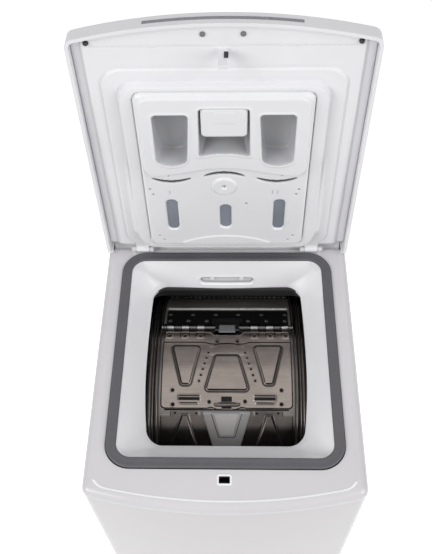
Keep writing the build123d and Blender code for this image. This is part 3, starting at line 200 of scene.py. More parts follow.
def new_group(name, rough, *more):
    """A node group with the sockets that every finish has; returns the tree, its inputs and its outputs."""
    tree = bpy.data.node_groups.new(name, "ShaderNodeTree")
    common = [("Vector", "Vector", None), ("Light", "Color", None), ("Dark", "Color", None)]
    for label, kind, value in (*common, ("Rough", "Float", rough), *more):
        socket = tree.interface.new_socket(name=label, in_out="INPUT", socket_type="NodeSocket" + kind)
        if value is not None:
            socket.default_value = value
    for label, kind in (("Colour", "Color"), ("Roughness", "Float"), ("Height", "Float")):
        tree.interface.new_socket(name=label, in_out="OUTPUT", socket_type="NodeSocket" + kind)
    return tree, tree.nodes.new("NodeGroupInput"), tree.nodes.new("NodeGroupOutput")


def add_node(tree, kind, inputs=(), output=0, **settings):
    """A node with its settings and inputs, each a value or another node's output; returns one output."""
    node = tree.nodes.new("ShaderNode" + kind)
    for key, value in settings.items():
        setattr(node, key, value)
    for key, value in dict(inputs).items():
        if isinstance(value, bpy.types.NodeSocket):
            tree.links.new(value, node.inputs[key])
        else:
            node.inputs[key].default_value = value
    return node.outputs[output]


def maths(tree, operation, *operands):
    """One Math node."""
    return add_node(tree, "Math", enumerate(operands), operation=operation)


def noise(tree, vector, scale, detail=2.0, rough=0.5):
    """One Noise texture read at a vector."""
    inputs = {"Vector": vector, "Scale": scale, "Detail": detail, "Roughness": rough}
    return add_node(tree, "TexNoise", inputs, "Fac")


def span(tree, value, low, high, to_low, to_high):
    """Map Range from one span to another, held at its ends."""
    ends = {"From Min": low, "From Max": high, "To Min": to_low, "To Max": to_high}
    return add_node(tree, "MapRange", {"Value": value, **ends}, "Result")


def blend_colour(tree, factor, first, second):
    """Mixes two colours: factor 0 gives the first, 1 the second."""
    return add_node(tree, "Mix", {0: factor, 6: first, 7: second}, 2, data_type="RGBA")


def wire_group(tree, start, end, mix, roughness, height):
    """Joins up a group's outputs: a blend of its dark and light colours, a roughness and a height."""
    colour = blend_colour(tree, mix, start.outputs["Dark"], start.outputs["Light"])
    for label, value in (("Colour", colour), ("Roughness", roughness), ("Height", height)):
        tree.links.new(value, end.inputs[label])
    return tree


# %% [markdown]
# The moulded grain is two noises: one fine enough to be felt by a fingertip, and one slow enough to tint a
# whole panel and to change how sharply it reflects.

# %% Moulded plastic group
def moulded_group():
    """Tint and roughness come from the slow noise, height from the fine one."""
    tree, start, end = new_group("moulded_plastic", 0.4)
    fine = noise(tree, start.outputs["Vector"], 1400, 2)
    slow = noise(tree, start.outputs["Vector"], 7, 3)
    uneven = maths(tree, "MULTIPLY_ADD", slow, 0.12, start.outputs["Rough"])
    rough = maths(tree, "SUBTRACT", uneven, 0.06)
    return wire_group(tree, start, end, span(tree, slow, 0.3, 0.7, 0, 1), rough, fine)


MOULDED = moulded_group()

# %% [markdown]
# Brushed steel is noise squeezed along one direction, so it reads as long fine lines. The mapping says how
# dense the lines are on each axis. A slow cloud changes the roughness, as handling and water marks do.

# %% Brushed steel group
def brushed_group():
    """Lines are noise stretched 50 times along X; a cloud and a few marks change tint and roughness."""
    tree, start, end = new_group("brushed_steel", 0.3)
    vector = start.outputs["Vector"]
    squeezed = add_node(tree, "Mapping", {"Vector": vector, "Scale": (18, 900, 900)})
    grain = noise(tree, squeezed, 1, 4, 0.6)
    cloud = noise(tree, vector, 14, 4, 0.6)
    marks = span(tree, noise(tree, vector, 55, 2), 0.6, 0.75, 0, 1)
    tint = maths(tree, "MULTIPLY_ADD", cloud, 0.6, maths(tree, "MULTIPLY", grain, 0.5))
    worn = maths(tree, "MULTIPLY_ADD", cloud, 0.16, start.outputs["Rough"])
    streaked = maths(tree, "MULTIPLY_ADD", grain, 0.10, maths(tree, "SUBTRACT", worn, 0.12))
    rough = maths(tree, "MULTIPLY_ADD", marks, 0.05, streaked)
    return wire_group(tree, start, end, span(tree, tint, 0.35, 0.75, 0, 1), rough, grain)


BRUSHED = brushed_group()

# %% [markdown]
# Rubber and cast stone are both speckled: rubber finely, with a pale bloom in patches; the counterweight
# coarsely, with grit. One group serves both, with its scale as an input.

# %% Speckled group
def speckled_group():
    """Grit and bloom are two noises of the scaled position; their sum mixes the two colours."""
    tree, start, end = new_group("speckled", 0.6, ("Fineness", "Float", 1.0))
    inputs = {0: start.outputs["Vector"], "Scale": start.outputs["Fineness"]}
    scaled = add_node(tree, "VectorMath", inputs, operation="SCALE")
    grit = noise(tree, scaled, 380, 5, 0.65)
    bloom = noise(tree, scaled, 22, 3)
    patches = span(tree, bloom, 0.45, 0.8, 0, 0.45)
    mix = maths(tree, "MULTIPLY_ADD", span(tree, grit, 0.4, 0.65, 0, 1), 0.55, patches)
    rough = maths(tree, "MULTIPLY_ADD", bloom, 0.2, start.outputs["Rough"])
    return wire_group(tree, start, end, mix, maths(tree, "SUBTRACT", rough, 0.1), grit)


SPECKLED = speckled_group()

# %% [markdown]
# ## The materials
# Each finish is one material that reads its group through Object coordinates, so the grain stays on the
# piece when it moves. Numbers that are the same all over, such as metallic, are set on the shader itself.

# %% Material maker
BUMP_DEPTH = 0.0002
# Painted shade: black for what lies in shade in openings, slots and recesses, grey for shade in pockets and
# channels.
PAINTED_SHADE_BLACK = (0.004, 0.004, 0.004, 1)
PAINTED_SHADE_GREY = linear(112, 113, 118)


def finish(name, group, light, dark, rough, bump, metallic=0.0, mask=None, shade=None, fineness=None,
           specular=None):
    """A material of one group; light and dark are screen colours.

    mask names a point attribute of painted shade that turns the surface black and dull, where openings,
    slots and recesses would lie in shade. shade names one of painted shade that turns it a mid grey, as far
    down in a moulded pocket."""
    material = bpy.data.materials.new(name)
    material.use_nodes = True
    tree = material.node_tree
    shader = tree.nodes["Principled BSDF"]
    effect = tree.nodes.new("ShaderNodeGroup")
    effect.node_tree = group
    tree.links.new(add_node(tree, "TexCoord", output="Object"), effect.inputs["Vector"])
    settings = {"Light": linear(*light), "Dark": linear(*dark), "Rough": rough, "Fineness": fineness}
    for label, value in settings.items():
        if value is not None:
            effect.inputs[label].default_value = value
    if specular is not None:
        shader.inputs["Specular IOR Level"].default_value = specular
    shader.inputs["Metallic"].default_value = metallic
    colour, roughness = effect.outputs["Colour"], effect.outputs["Roughness"]
    if shade:
        deep = add_node(tree, "Attribute", output="Fac", attribute_name=shade)
        colour = blend_colour(tree, deep, colour, PAINTED_SHADE_GREY)
    if mask:
        hole = add_node(tree, "Attribute", output="Fac", attribute_name=mask)
        colour = blend_colour(tree, hole, colour, PAINTED_SHADE_BLACK)
        roughness = maths(tree, "MAXIMUM", roughness, maths(tree, "MULTIPLY", hole, 0.9))
        kept = maths(tree, "SUBTRACT", 1.0, hole)
        tree.links.new(maths(tree, "MULTIPLY", kept, metallic), shader.inputs["Metallic"])
    relief = {"Strength": bump, "Distance": BUMP_DEPTH, "Height": effect.outputs["Height"]}
    tree.links.new(add_node(tree, "Bump", relief, "Normal"), shader.inputs["Normal"])
    tree.links.new(colour, shader.inputs["Base Color"])
    tree.links.new(roughness, shader.inputs["Roughness"])
    return material


# %% [markdown]
# The first set has one finish for each of the record's slots. The others are for single pieces whose tone
# differs, some of them lighter or darker copies of one material that stand in for light and shade, or which
# carry a mask of painted shade.

# %% The finishes
SLOTS = {
    "white_paint": finish("white_enamel", MOULDED, (201, 198, 200), (197, 194, 196), 0.18, 0.04),
    "white_plastic": finish("white_plastic", MOULDED, (235, 235, 237), (229, 229, 232), 0.34, 0.08),
    "grey_trim": finish("light_grey_plastic", MOULDED, (226, 226, 229), (219, 219, 222), 0.34, 0.08),
    "dark_grip": finish("grip_rubber", SPECKLED, (152, 152, 158), (128, 128, 134), 0.55, 0.2),
    "grey_seal": finish("seal_rubber", SPECKLED, (94, 94, 98), (83, 83, 87), 0.5, 0.2),
    "dark_rubber": finish("gaiter_rubber", SPECKLED, (98, 96, 95), (68, 67, 66), 0.36, 0.3),
    "stainless": finish("drum_steel", BRUSHED, (128, 125, 122), (84, 82, 80), 0.18, 0.12,
                        metallic=1.0),
    "grey_plastic": finish("mid_grey_plastic", MOULDED, (172, 172, 174), (158, 158, 160), 0.4, 0.12),
    "black_plastic": finish("black_plastic", MOULDED, (30, 30, 32), (18, 18, 19), 0.36, 0.15),
    "tub_plastic": finish("tub_plastic", MOULDED, (74, 75, 77), (58, 59, 61), 0.45, 0.15),
    "galvanised": finish("galvanised_sheet", SPECKLED, (182, 186, 190), (163, 167, 171), 0.4, 0.1,
                         metallic=0.9, fineness=0.12),
    "concrete": finish("cast_weight", SPECKLED, (160, 158, 152), (112, 110, 105), 0.85, 0.6,
                       fineness=0.5),
    "alloy": finish("cast_alloy", SPECKLED, (170, 172, 174), (132, 134, 136), 0.45, 0.3,
                    metallic=1.0, fineness=0.7),
    "steel": finish("plain_steel", BRUSHED, (190, 190, 190), (140, 140, 142), 0.28, 0.15, metallic=1.0),
    "smoked_window": finish("smoked_window", MOULDED, (24, 26, 30), (16, 17, 20), 0.08, 0.02),
    "board_green": finish("board_green", SPECKLED, (46, 98, 62), (24, 62, 38), 0.4, 0.2, fineness=2.0),
}
# Paler and less metallic than the drum's steel, so the band behind the hinge takes diffuse light in place
# of the reflections it would catch: a painted sheen. Its mask paints black shade.
SHEEN_BAND_STEEL = finish("drum_band_steel", BRUSHED, (152, 149, 145), (118, 114, 110), 0.32, 0.12,
                    metallic=0.3, mask="hole", specular=0.12)
FLAP_STEEL = finish("flap_steel", BRUSHED, (150, 141, 135), (122, 113, 108), 0.22, 0.08,
                    metallic=1.0, mask="hole")
# A darker copy of the drum's steel: painted shade for the front flap and the drum's ends, which lie in
# shadow.
SHADED_STEEL = finish("shaded_flap_steel", BRUSHED, (104, 98, 94), (62, 58, 56), 0.17, 0.1,
                     metallic=1.0, mask="hole")
# A paler copy of the white plastic: painted light that makes up for the light the funnel's steep walls
# lack. The lock's rim and the top's bead use it as a painted highlight.
LIT_WHITE = finish("funnel_plastic_brightened", MOULDED, (247, 247, 249), (242, 242, 245), 0.3, 0.06,
                      shade="deep")
TOP_WHITE = finish("top_enamel", MOULDED, (214, 212, 215), (210, 208, 211), 0.16, 0.04)
LINING_WHITE = finish("lining_plastic", MOULDED, (236, 235, 238), (231, 230, 233), 0.32, 0.06,
                      shade="deep")
LATCH_GREY = finish("latch_grey", MOULDED, (194, 190, 189), (180, 176, 175), 0.36, 0.1, mask="hole")
PAD_GREY = finish("hinge_pad_grey", MOULDED, (124, 125, 128), (108, 109, 112), 0.38, 0.1)
HINGE_GREY = finish("hinge_grey", MOULDED, (34, 35, 37), (24, 25, 27), 0.4, 0.1)
TRAY_PLASTIC = finish("tray_plastic", MOULDED, (236, 236, 238), (231, 231, 234), 0.3, 0.06, mask="hole",
                      shade="deep")
WINDOW_GREY = finish("tray_window", MOULDED, (146, 151, 162), (128, 133, 143), 0.2, 0.04)
CARRIER_GREY = finish("carrier_grey", MOULDED, (160, 157, 156), (146, 143, 142), 0.38, 0.1, mask="hole")
# A pale steel that paints a highlight on the bead and the pressed slots.
HIGHLIGHT_STEEL = finish("bead_highlight_steel", BRUSHED, (236, 234, 230), (206, 204, 200), 0.24, 0.1, metallic=0.35)
# A lighter copy of the gaiter's dark rubber: painted light, so the walls beside the drum show in their
# shade.
LIT_SKIRT_GREY = finish("skirt_rubber_brightened", SPECKLED, (172, 176, 180), (144, 148, 152), 0.5, 0.3)
print("finishes:", len(bpy.data.materials))

# %% [markdown]
# ## Finishes for the solids
# The record lists a material slot for every solid. The loop gives each one the finish of its slot. The
# imported meshes carry the CAD's own smooth normals, so bends and fillets already shade softly.

# %% Give every solid its finish
for node in nodes.values():
    label = node.material_slots[0].material.name.split(".")[0]
    node.data.materials.clear()
    node.data.materials.append(SLOTS.get(label, SLOTS["white_plastic"]))
exceptions = {"hinge_block": HINGE_GREY, "lid_hook": SLOTS["white_plastic"], "lid_screws": PAD_GREY,
              "top_frame": TOP_WHITE}
for name, paint in exceptions.items():
    nodes[name].data.materials[0] = paint
print("slots used:", sorted({node.data.materials[0].name for node in nodes.values()}))

# %% [markdown]
# ## The lid's lining
# Seen from the front, the open lid is a stack of shallow rounded steps, like a baking tin, with the
# detergent tray in the middle. All its points are drawn with the lid shut, as a width, a reach from the
# hinge and a height out of the lid, and then turned about the hinge to the open stop.

# %% Points on the lid
def on_lid(x, reach, out):
    """Points of the open lid: the shut lid's point turned about the hinge line."""
    y = LID_BACK - reach - HINGE_Y
    z = LID_UNDER - out - HINGE_Z
    c, s = math.cos(LID_OPEN), math.sin(LID_OPEN)
    return np.stack([x, HINGE_Y + y * c - z * s, HINGE_Z + y * s + z * c], axis=-1)


def front_reach(x, inset):
    """Reach of the lid's bowed front edge, drawn in by inset."""
    return LID_BACK - (FRONT_Y + inset + BOW * (x / HALF) ** 2)


# %% [markdown]
# The lining's height is a base with two soft steps on it. Thin channels run beside the steps and across the
# front, and the tray's well is left open. A mask of painted shade darkens the channels a little, and the
# side gutters more toward the hinge.

# %% Lining surface
LINING_REAR, LINING_SIDE, LINING_INSET = 19.6, 194.4, 6.2


def lid_lining():
    """Height is the base, plus each step times the ramp of its outline, less the channels."""
    right = np.concatenate([np.linspace(*run) for run in (
        (0, 130, 60), (132, 148, 22), (150, 156, 5), (157.5, 170, 18), (172, 178, 4), (179.2, 182.6, 5),
        (185, LINING_SIDE, 5))])
    shares = np.concatenate([np.linspace(*run) for run in (
        (0, 0.06, 26), (0.065, 0.74, 130), (0.745, 0.93, 84), (0.935, 1, 22))])
    x, share = np.meshgrid(np.concatenate([-right[:0:-1], right]), shares)
    front = front_reach(x, LINING_INSET)
    reach = LINING_REAR + share * (front - LINING_REAR)
    rear_part = ramp(reach - 100, 130)
    first = box_distance(x, reach, -161, 161, 22, 372, 26)
    second = box_distance(x, reach, -139, 139, 34.6, 354, 24)
    middle = -4.2 + 10.5 * rear_part * ramp(box_distance(x, reach, -139, 139, 42, 354, 24), 12)
    out = -7.6 + (middle + 7.6) * ramp(first, 1.9) + (8.5 - middle) * ramp(second, 2.6)
    out -= 1.1 * groove(first - 3.2, 1.5) + 1.1 * groove(second - 3.9, 1.5)
    out -= 0.6 * groove(reach - 407, 1.6) * (np.abs(x) < 176)
    out -= 3.8 * ramp(182.4 - np.abs(x), 3.2)
    edge = np.minimum(np.minimum(LINING_SIDE - np.abs(x), reach - LINING_REAR), front - reach)
    out -= 2.2 * ramp(edge, 2.4)
    # Painted shade: grey lines at the steps and across the front, and grey in the side gutters, growing
    # toward the hinge.
    deep = 0.34 * groove(first - 3.0, 1.6) + 0.34 * groove(second - 3.7, 1.6) * (1 - 0.7 * rear_part)
    deep += 0.3 * groove(reach - 407, 1.3) * (np.abs(x) < 176) + 0.22 * groove(np.abs(x) - 181.5, 3.5)
    deep += 0.28 * groove(np.abs(x) - 179, 5) * np.clip((330 - reach) / 220, 0, 1)
    well = box_distance(x, reach, -122.4, 122.4, 42.6, 348.9, TRAY_CORNER)
    new_piece("lid_lining", on_lid(x, reach, out), cells_within(x.shape, -well, -1.1), "lid",
              "white_plastic", LINING_WHITE, flip=True, deep=deep)


lid_lining()

# %% [markdown]
# ## The detergent tray
# One moulding: a raised island with three pockets over a lower apron with three windows. Every feature is
# again an outline and a ramp. Where an outline leans or curves, its sides are given as functions of the
# other axis.

# %% Tray outlines
def pocket_distance(x, reach, side):
    """Distance to an outer pocket: upright outer side, leaning inner side, sagging lower end."""
    outward = side * x
    low = 226.0 + 7.0 * ((outward - 76) / 22) ** 2
    inner = 48.6 + 5.0 * (318 - reach) / 85
    past_side = np.maximum(inner - outward, outward - 97.0)
    return corner_distance(past_side, np.maximum(low - reach, reach - 318.4), 6)


def middle_distance(x, reach):
    """Distance to the middle pocket, whose lower end arches upward."""
    low = 250.0 - 6.0 * (x / 34) ** 2
    half = 34.0 + 1.6 * (328 - reach) / 84
    return corner_distance(np.abs(x) - half, np.maximum(low - reach, reach - 328.5), 5)


def island_distance(x, reach):
    """Distance to the raised island: its lower end is a wave, high in the middle and low at the sides."""
    wave = 212.8 + 7.8 * np.cos(np.pi * x / 109)
    return corner_distance(np.abs(x) - 114.5, np.maximum(wave - reach, reach - 343.5), 14)


def slot_distance(x, reach, middle, half, level, bend):
    """Distance to a curved slot that thins toward its ends."""
    t = (x - middle) / half
    line = level + bend * t * t
    thickness = 2.3 * np.sqrt(np.clip(1 - t ** 4, 0, 1))
    return np.where(np.abs(t) < 1, np.abs(reach - line) - thickness, 9.0)


# %% [markdown]
# The dots are the feet of small locating pins, the bars under the pockets mark the two wash compartments,
# and the round boss holds the tray's screw.

# %% Marks in the tray
DOTS = [(-112.6, 172), (-108.8, 161), (109.5, 171), (106, 160), (31.5, 140.5), (-106, 65.7), (-99, 56),
        (106, 65.7), (99, 56), (-83, 200.5), (83, 200.5)]
CURVED_SLOTS = ((-79, 29.5, 188, 7), (-1.2, 29.8, 206, -7), (76, 30, 188, 7))
BARS = (-83.0, 70.5, 78.0)
SCREW_X, SCREW_REACH = -1.3, 178.6


def tray_marks(x, reach, out):
    """Sinks the dots, the screw's dish, the curved slots and the bars into a height, and paints shade into
    them: nearly black in the dots, slots and the screw's cross, grey in the bars.
    """
    hole = np.zeros_like(x)
    for x0, s0 in DOTS:
        dot = np.hypot(x - x0, reach - s0) - 1.2
        out = out - 2.5 * ramp(dot, 0.9)
        hole = np.maximum(hole, ramp(dot, 0.8) * 0.8)
    screw = np.hypot(x - SCREW_X, reach - SCREW_REACH)
    out = out - 2.2 * ramp(screw - 3.2, 1.4)
    star = np.minimum(np.abs(x - SCREW_X), np.abs(reach - SCREW_REACH)) + 4 * (screw > 2.6)
    hole = np.maximum(hole, 0.75 * ramp(star - 0.3, 0.8))
    for middle, half, level, bend in CURVED_SLOTS:
        cut = slot_distance(x, reach, middle, half, level, bend)
        out = out - 2.4 * ramp(cut, 0.9)
        hole = np.maximum(hole, ramp(cut + 0.1, 0.9) * 0.93)
    for bar in BARS:
        mark = box_distance(x, reach, bar - 0.7, bar + 0.7, 161, 169, 0.7)
        out = out - 0.7 * ramp(mark, 0.8)
        hole = np.maximum(hole, 0.3 * ramp(mark, 0.6))
    return out, hole


# %% [markdown]
# The surface adds up the apron, the island, the boss and an arch, and takes away the marks, the windows and
# the pockets. The pockets' floors slope up at their lower ends. The windows have a finish of their own.

# %% Tray surface
WINDOWS = [(-82.0, 81.0, 149.0), (0.0, 85.0, 138.0), (82.0, 81.0, 149.0)]


def dispenser():
    """Tray height: apron, island, boss and arch added, marks, windows and pockets sunk."""
    lines_x = np.unique(np.concatenate([np.linspace(*TRAY[:2], 236), [-121.6, -121, 121, 121.6]]))
    lines_s = np.unique(np.concatenate([np.linspace(*TRAY[2:], 292), [43.4, 44, 347.5, 348.1]]))
    x, reach = np.meshgrid(lines_x, lines_s)
    out = 14.0 + 6.0 * ramp(island_distance(x, reach), 4.0)
    out += 2.6 * ramp(np.hypot(x - SCREW_X, (reach - SCREW_REACH) * 1.05) - 16.0, 3.0)
    arch = 65.5 - 15.0 * (x / 68) ** 2
    out += 1.4 * ramp(reach - arch, 2.5) * (np.abs(x) < 70)
    out, hole = tray_marks(x, reach, out)
    window = np.full_like(x, 99.0)
    for middle, low, high in WINDOWS:
        window = np.minimum(window, box_distance(x, reach, middle - 9, middle + 9, low, high, 8.8))
    out -= 3.0 * ramp(window, 1.3)
    pocket = np.minimum(np.minimum(pocket_distance(x, reach, -1), pocket_distance(x, reach, 1)),
                        middle_distance(x, reach))
    out += 0.9 * ramp(np.abs(pocket - 2.2) - 0.6, 2.2) * (pocket > -0.5)
    floor = np.where(np.abs(x) < 42, 272, 252)
    slope = 1.7 + 8.0 * np.clip((floor - reach) / 22, 0, 1)
    out += (-11.0 - out) * ramp(pocket + slope, slope + 0.2)
    # Strength of the painted shade in the pockets: mid grey, lighter at the outer pockets' lower ends.
    pocket_shade_strength = 0.62 - 0.22 * np.clip((np.abs(x) - 60) / 36, 0, 1) * np.clip((300 - reach) / 60, 0, 1)
    edge = box_distance(x, reach, *TRAY, TRAY_CORNER)
    out += (-13.0 - out) * ramp(-edge - 0.1, 0.5)
    out -= 2.0 * ramp(-edge - 1.0, 3.2) * (edge < -0.6)
    quads = cells_within(x.shape, edge, 0.3)
    deep = pocket_shade_strength * ramp(pocket - 0.1, 0.8)
    piece = new_piece("tray_moulding", on_lid(x, reach, out), quads, "tray", "white_plastic",
                      [TRAY_PLASTIC, WINDOW_GREY], flip=True, hole=hole, deep=deep)
    pane = (window.ravel()[quads].max(axis=1) < 0.2).astype(np.int32)
    piece.data.polygons.foreach_set("material_index", pane)
    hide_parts("dispenser_tray")


dispenser()

# %% [markdown]
# The tray's back closes the moulding, so the tray still looks whole when it slides out of the lid. Closed
# pieces like it are lofts: outlines with equal counts of points, joined one to the next.

# %% Lofts and the tray's back
def loop_rounded(box, inset, r, side_x, side_y, corner):
    """Points round a box drawn in by inset, with corners of radius r, anticlockwise from its lower left.

    A straight run lies r outside the line between two corner centres; a corner is a quarter circle."""
    x0, x1, y0, y1 = box[0] + inset + r, box[1] - inset - r, box[2] + inset + r, box[3] - inset - r
    centres = np.array([(x0, y0), (x1, y0), (x1, y1), (x0, y1), (x0, y0)])
    quarter = np.linspace(0, np.pi / 2, corner, endpoint=False)
    parts = []
    for side, (start, end) in enumerate(zip(centres, centres[1:])):
        turn = (side - 1) * np.pi / 2
        t = np.linspace(0, 1, side_y if side % 2 else side_x, endpoint=False)[:, None]
        parts.append(start + t * (end - start) + r * np.array([math.cos(turn), math.sin(turn)]))
        parts.append(end + r * np.column_stack([np.cos(turn + quarter), np.sin(turn + quarter)]))
    return np.concatenate(parts)


def at_level(outline, level):
    """A plan outline lifted to a height."""
    return np.column_stack([outline, np.full(len(outline), level)])


def loft(rings, closed=False):
    """Points and cells of outlines joined one to the next; closed joins the last to the first as well."""
    points = np.stack(rings)
    return points, quads_of(*points.shape[:2], wrap_rows=closed, wrap_columns=True)


def tray_back():
    """A plate of nested outlines, drawn in from the tray's edge to a small ring."""
    rings = []
    for inset, level in ((0, -9.0), (1, -12.4), *((inset, -13.4) for inset in (3, 12, 40, 80, 118))):
        ring = loop_rounded(TRAY, inset, max(TRAY_CORNER - inset, 2), 24, 30, 6)
        rings.append(on_lid(*at_level(ring, level).T))
    piece = new_piece("tray_back", *loft(rings), "tray", "white_plastic")
    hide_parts("dispenser_tray")


tray_back()

# %% [markdown]
# The care cover is a small plate with rounded corners over the middle pocket, with a faint raised label
# panel. Its front and back are two fields over the same outline, two pieces that meet where the front's
# edges are lowered.

# %% Care cover
def care_cover():
    """The front is level with a raised panel; the back is the same outline, flat, facing the other way."""
    x, reach = np.meshgrid(np.linspace(-31.6, 31.6, 80), np.linspace(279.8, 328.2, 62))
    edge = box_distance(x, reach, -31.5, 31.5, 279.9, 328.1, 7)
    label = box_distance(x, reach, -13.3, 15.3, 304.6, 322.4, 3)
    front = 20.0 + 0.35 * ramp(label, 1.2) - 0.25 * groove(label - 1.6, 1.0)
    front -= 2.6 * ramp(-edge - 0.1, 0.7) + 0.6 * ramp(-edge - 0.6, 2.2)
    quads = cells_within(x.shape, edge, 0.3)
    for name, out, turn in (("care_front", front, True), ("care_back", np.full_like(x, 17.1), False)):
        piece = new_piece(name, on_lid(x, reach, out), quads, "care_cover", "white_plastic", flip=turn)
        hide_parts("care_flap")


care_cover()

# %% [markdown]
# The lid's hook has a square eye for the lock's bolt, with a black dish as painted shade in it, and the
# grip on the lid's front edge is ribbed rubber.

# %% Hook eye and ribbed grip
def hook_eye():
    """A small black dish in the hook's upper side: painted shade for the eye's opening."""
    x, out = np.meshgrid(np.linspace(1.2, 6.9, 12), np.linspace(0.5, 13.5, 20))
    dish = box_distance(x, out, 1.2, 6.9, 0.5, 13.5, 0.8)
    points = on_lid(x, 404.5 + 0.3 * ramp(-dish, 0.8), out)
    new_piece("hook_eye", points, quads_of(*x.shape), "lid", "black_plastic")


def ribbed_grip():
    """Fine upright ribs: the strip stands out and in as a cosine along the lid's bowed front edge."""
    x, out = np.meshgrid(np.linspace(-99.6, 99.6, 700), np.linspace(-16.6, -7.6, 10))
    edge = np.minimum(99.6 - np.abs(x), np.minimum(out + 16.6, -7.6 - out))
    inset = 0.4 - 0.35 * np.cos(2 * np.pi * x / 3.2) * ramp(1.4 - edge, 1.0) + 0.8 * ramp(edge, 0.8)
    new_piece("grip_ribs", on_lid(x, front_reach(x, inset), out), quads_of(*x.shape), "lid", "dark_grip")


def repeated(grids, cells):
    """Points and cells of several equal grids taken together."""
    return np.stack(grids), np.concatenate([cells + k * grids[0].size // 3 for k in range(len(grids))])


def buffers():
    """Two low rubber domes near the lid's front corners: rings of a quarter circle round each centre."""
    around = np.linspace(0, 2 * np.pi, 28, endpoint=False)
    a, turn = np.meshgrid(np.linspace(0, np.pi / 2, 8), around, indexing="ij")
    r, out = 3.8 * np.cos(a), -7.8 + 5 * np.sin(a)
    domes = [on_lid(x0 + r * np.cos(turn), 413.4 + r * np.sin(turn), out) for x0 in (-173.0, 173.0)]
    cells = quads_of(8, 28, wrap_columns=True)
    piece = new_piece("buffer_domes", *repeated(domes, cells), "lid", "black_plastic", flip=True)
    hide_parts("lid_buffers")


hook_eye()
ribbed_grip()
buffers()

# %% [markdown]
# ## The loading funnel
# A white moulding that tapers from the seal down to the drum's mouth. Its section is one curve from the
# seal's inner edge to a rounded lip, carried round a rounded rectangle that shrinks on the way down. The
# water slot is a recess in the rear wall, with two small tabs that hold the spray bar.

# %% Funnel surface
FUNNEL_TOP = (-156.4, 156.4, -224.9, 117.4)
FUNNEL_LIP = (-130.0, 130.0, -183.0, 107.0)
SHOULDER_Z, LIP_Z = 815.6, 759.0


def funnel_section():
    """Height, share of the taper, outward growth and corner radius of each ring, from the seal down.

    A rounded upper edge, the tapering wall, the rolled lip, and a short tail that goes straight down."""
    section = [(SHOULDER_Z + 4.6 * math.cos(a), 0.0, 2.6 - 2.6 * math.sin(a), 21.0)
               for a in np.linspace(0, np.pi / 2, 7)]
    for t in np.linspace(0.02, 1, 54):
        tighter = 12.0 * math.sin(np.pi * min(t * 1.15, 1.0))
        height = SHOULDER_Z - t * (SHOULDER_Z - LIP_Z)
        section.append((height, t ** 1.05, 0.0, 21.0 - tighter + 4.0 * t))
    section += [(LIP_Z - 3.6 * math.sin(a), 1.0, 1.8 - 1.8 * math.cos(a), 25.0)
                for a in np.linspace(0.15, np.pi, 12)]
    return section + [(level, 1.0, 4.2, 27.0) for level in (752.0, 748.0, 746.5)]


def funnel():
    """Each ring lies its share of the way from the top's outline to the lip's.

    The lip's sides bulge: its width shrinks with the square of the distance from a line 40 mm in front."""
    rings, shares = [], []
    for height, share, grow, radius in funnel_section():
        box = [a + share * (b - a) for a, b in zip(FUNNEL_TOP, FUNNEL_LIP)]
        rings.append(at_level(loop_rounded(box, -grow, radius + grow, 170, 150, 14), height))
        shares.append(share)
    points = np.stack(rings)
    x, y, z = points[..., 0], points[..., 1], points[..., 2]
    across = np.clip((y + 40.0) / 145.0, -1, 1)
    pinch = (0.5 + np.where(across < 0, 11.0, 4.5) * across ** 2) / 130.0
    x *= 1 - pinch * np.array(shares)[:, None]
    rear = (y > 98) & (np.abs(x) < 120)
    slot = box_distance(x, z, -44.5, 44.5, 767.5, 781, 6.4)
    tabs = box_distance(np.abs(x), z, 22.5, 27.5, 776, 784, 1)
    depth = 5.0 * ramp(slot, 1.8) * (1 - ramp(tabs, 1.2))
    frame_line = 0.8 * groove(slot - 2.6, 1.6)
    bulge = 3.0 * np.exp(-(x / 70) ** 2) * np.clip((790 - z) / 35, 0, 1)
    points[..., 1] = y + rear * (depth - frame_line - bulge)
    # Painted shade inside the water slot and on its rim, kept off the tabs.
    dark = 0.75 * ramp(np.abs(slot + 0.4) - 0.7, 0.8) + 0.35 * ramp(slot + 1.4, 1.0)
    piece = new_piece("funnel_moulding", *loft(points), "cabinet", "white_plastic", LIT_WHITE, flip=True,
                      deep=rear * dark * (1 - ramp(tabs, 0.8)))
    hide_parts("funnel")


funnel()

# %% [markdown]
# Below the lip, rubber walls run down beside the drum and close the gap to the tub. Each is one curtain
# whose lower edge follows the drum's roundness, with faint folds.

# %% Skirt walls beside the drum
def skirt_walls():
    """Each wall goes from the lip down to a circle about the drum's axis, with five faint folds."""
    top, lower_radius = 747.0, 218.0
    y, share = np.meshgrid(np.linspace(-181, 105, 120), np.linspace(0, 1, 30))
    z = top + share * (AXIS_Z + np.sqrt(lower_radius ** 2 - y ** 2) - top)
    out = 135.0 + 3.4 * (1 - ramp(share, 0.4)) + 0.3 * np.cos(10 * np.pi * share)
    cells = quads_of(*y.shape)
    quads = np.concatenate([cells, cells[:, ::-1] + y.size])
    walls = np.stack([np.stack([side * out, y, z], -1) for side in (-1, 1)])
    new_piece("skirt_walls", walls, quads, "cabinet", "dark_rubber", LIT_SKIRT_GREY)


skirt_walls()

# %% [markdown]
# ## The seal
# A flat grey rubber ring between the funnel and the top. Its section is a low bar with rounded shoulders
# and a shallow channel, carried along the rounded outline, and closed on itself.

# %% Seal ring
def seal():
    """The section's points give an inset and a height over the top; each becomes one outline."""
    section = [(0.0, 0.2), (0.0, 2.6), (0.4, 3.4), (1.3, 3.9), (3.2, 4.0), (5.4, 3.6), (7.8, 3.45),
               (10.2, 3.6), (12.4, 4.0), (14.3, 3.9), (15.2, 3.4), (15.6, 2.6), (15.6, 0.2)]
    box = (-172.0, 172.0, -240.5, 133.0)
    rings = [at_level(loop_rounded(box, inset, 38 - inset, 40, 44, 20), TOP_Z + over)
             for inset, over in section]
    piece = new_piece("seal_ring", *loft(rings, closed=True), "cabinet", "grey_seal", flip=True)
    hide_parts("lid_seal")


seal()

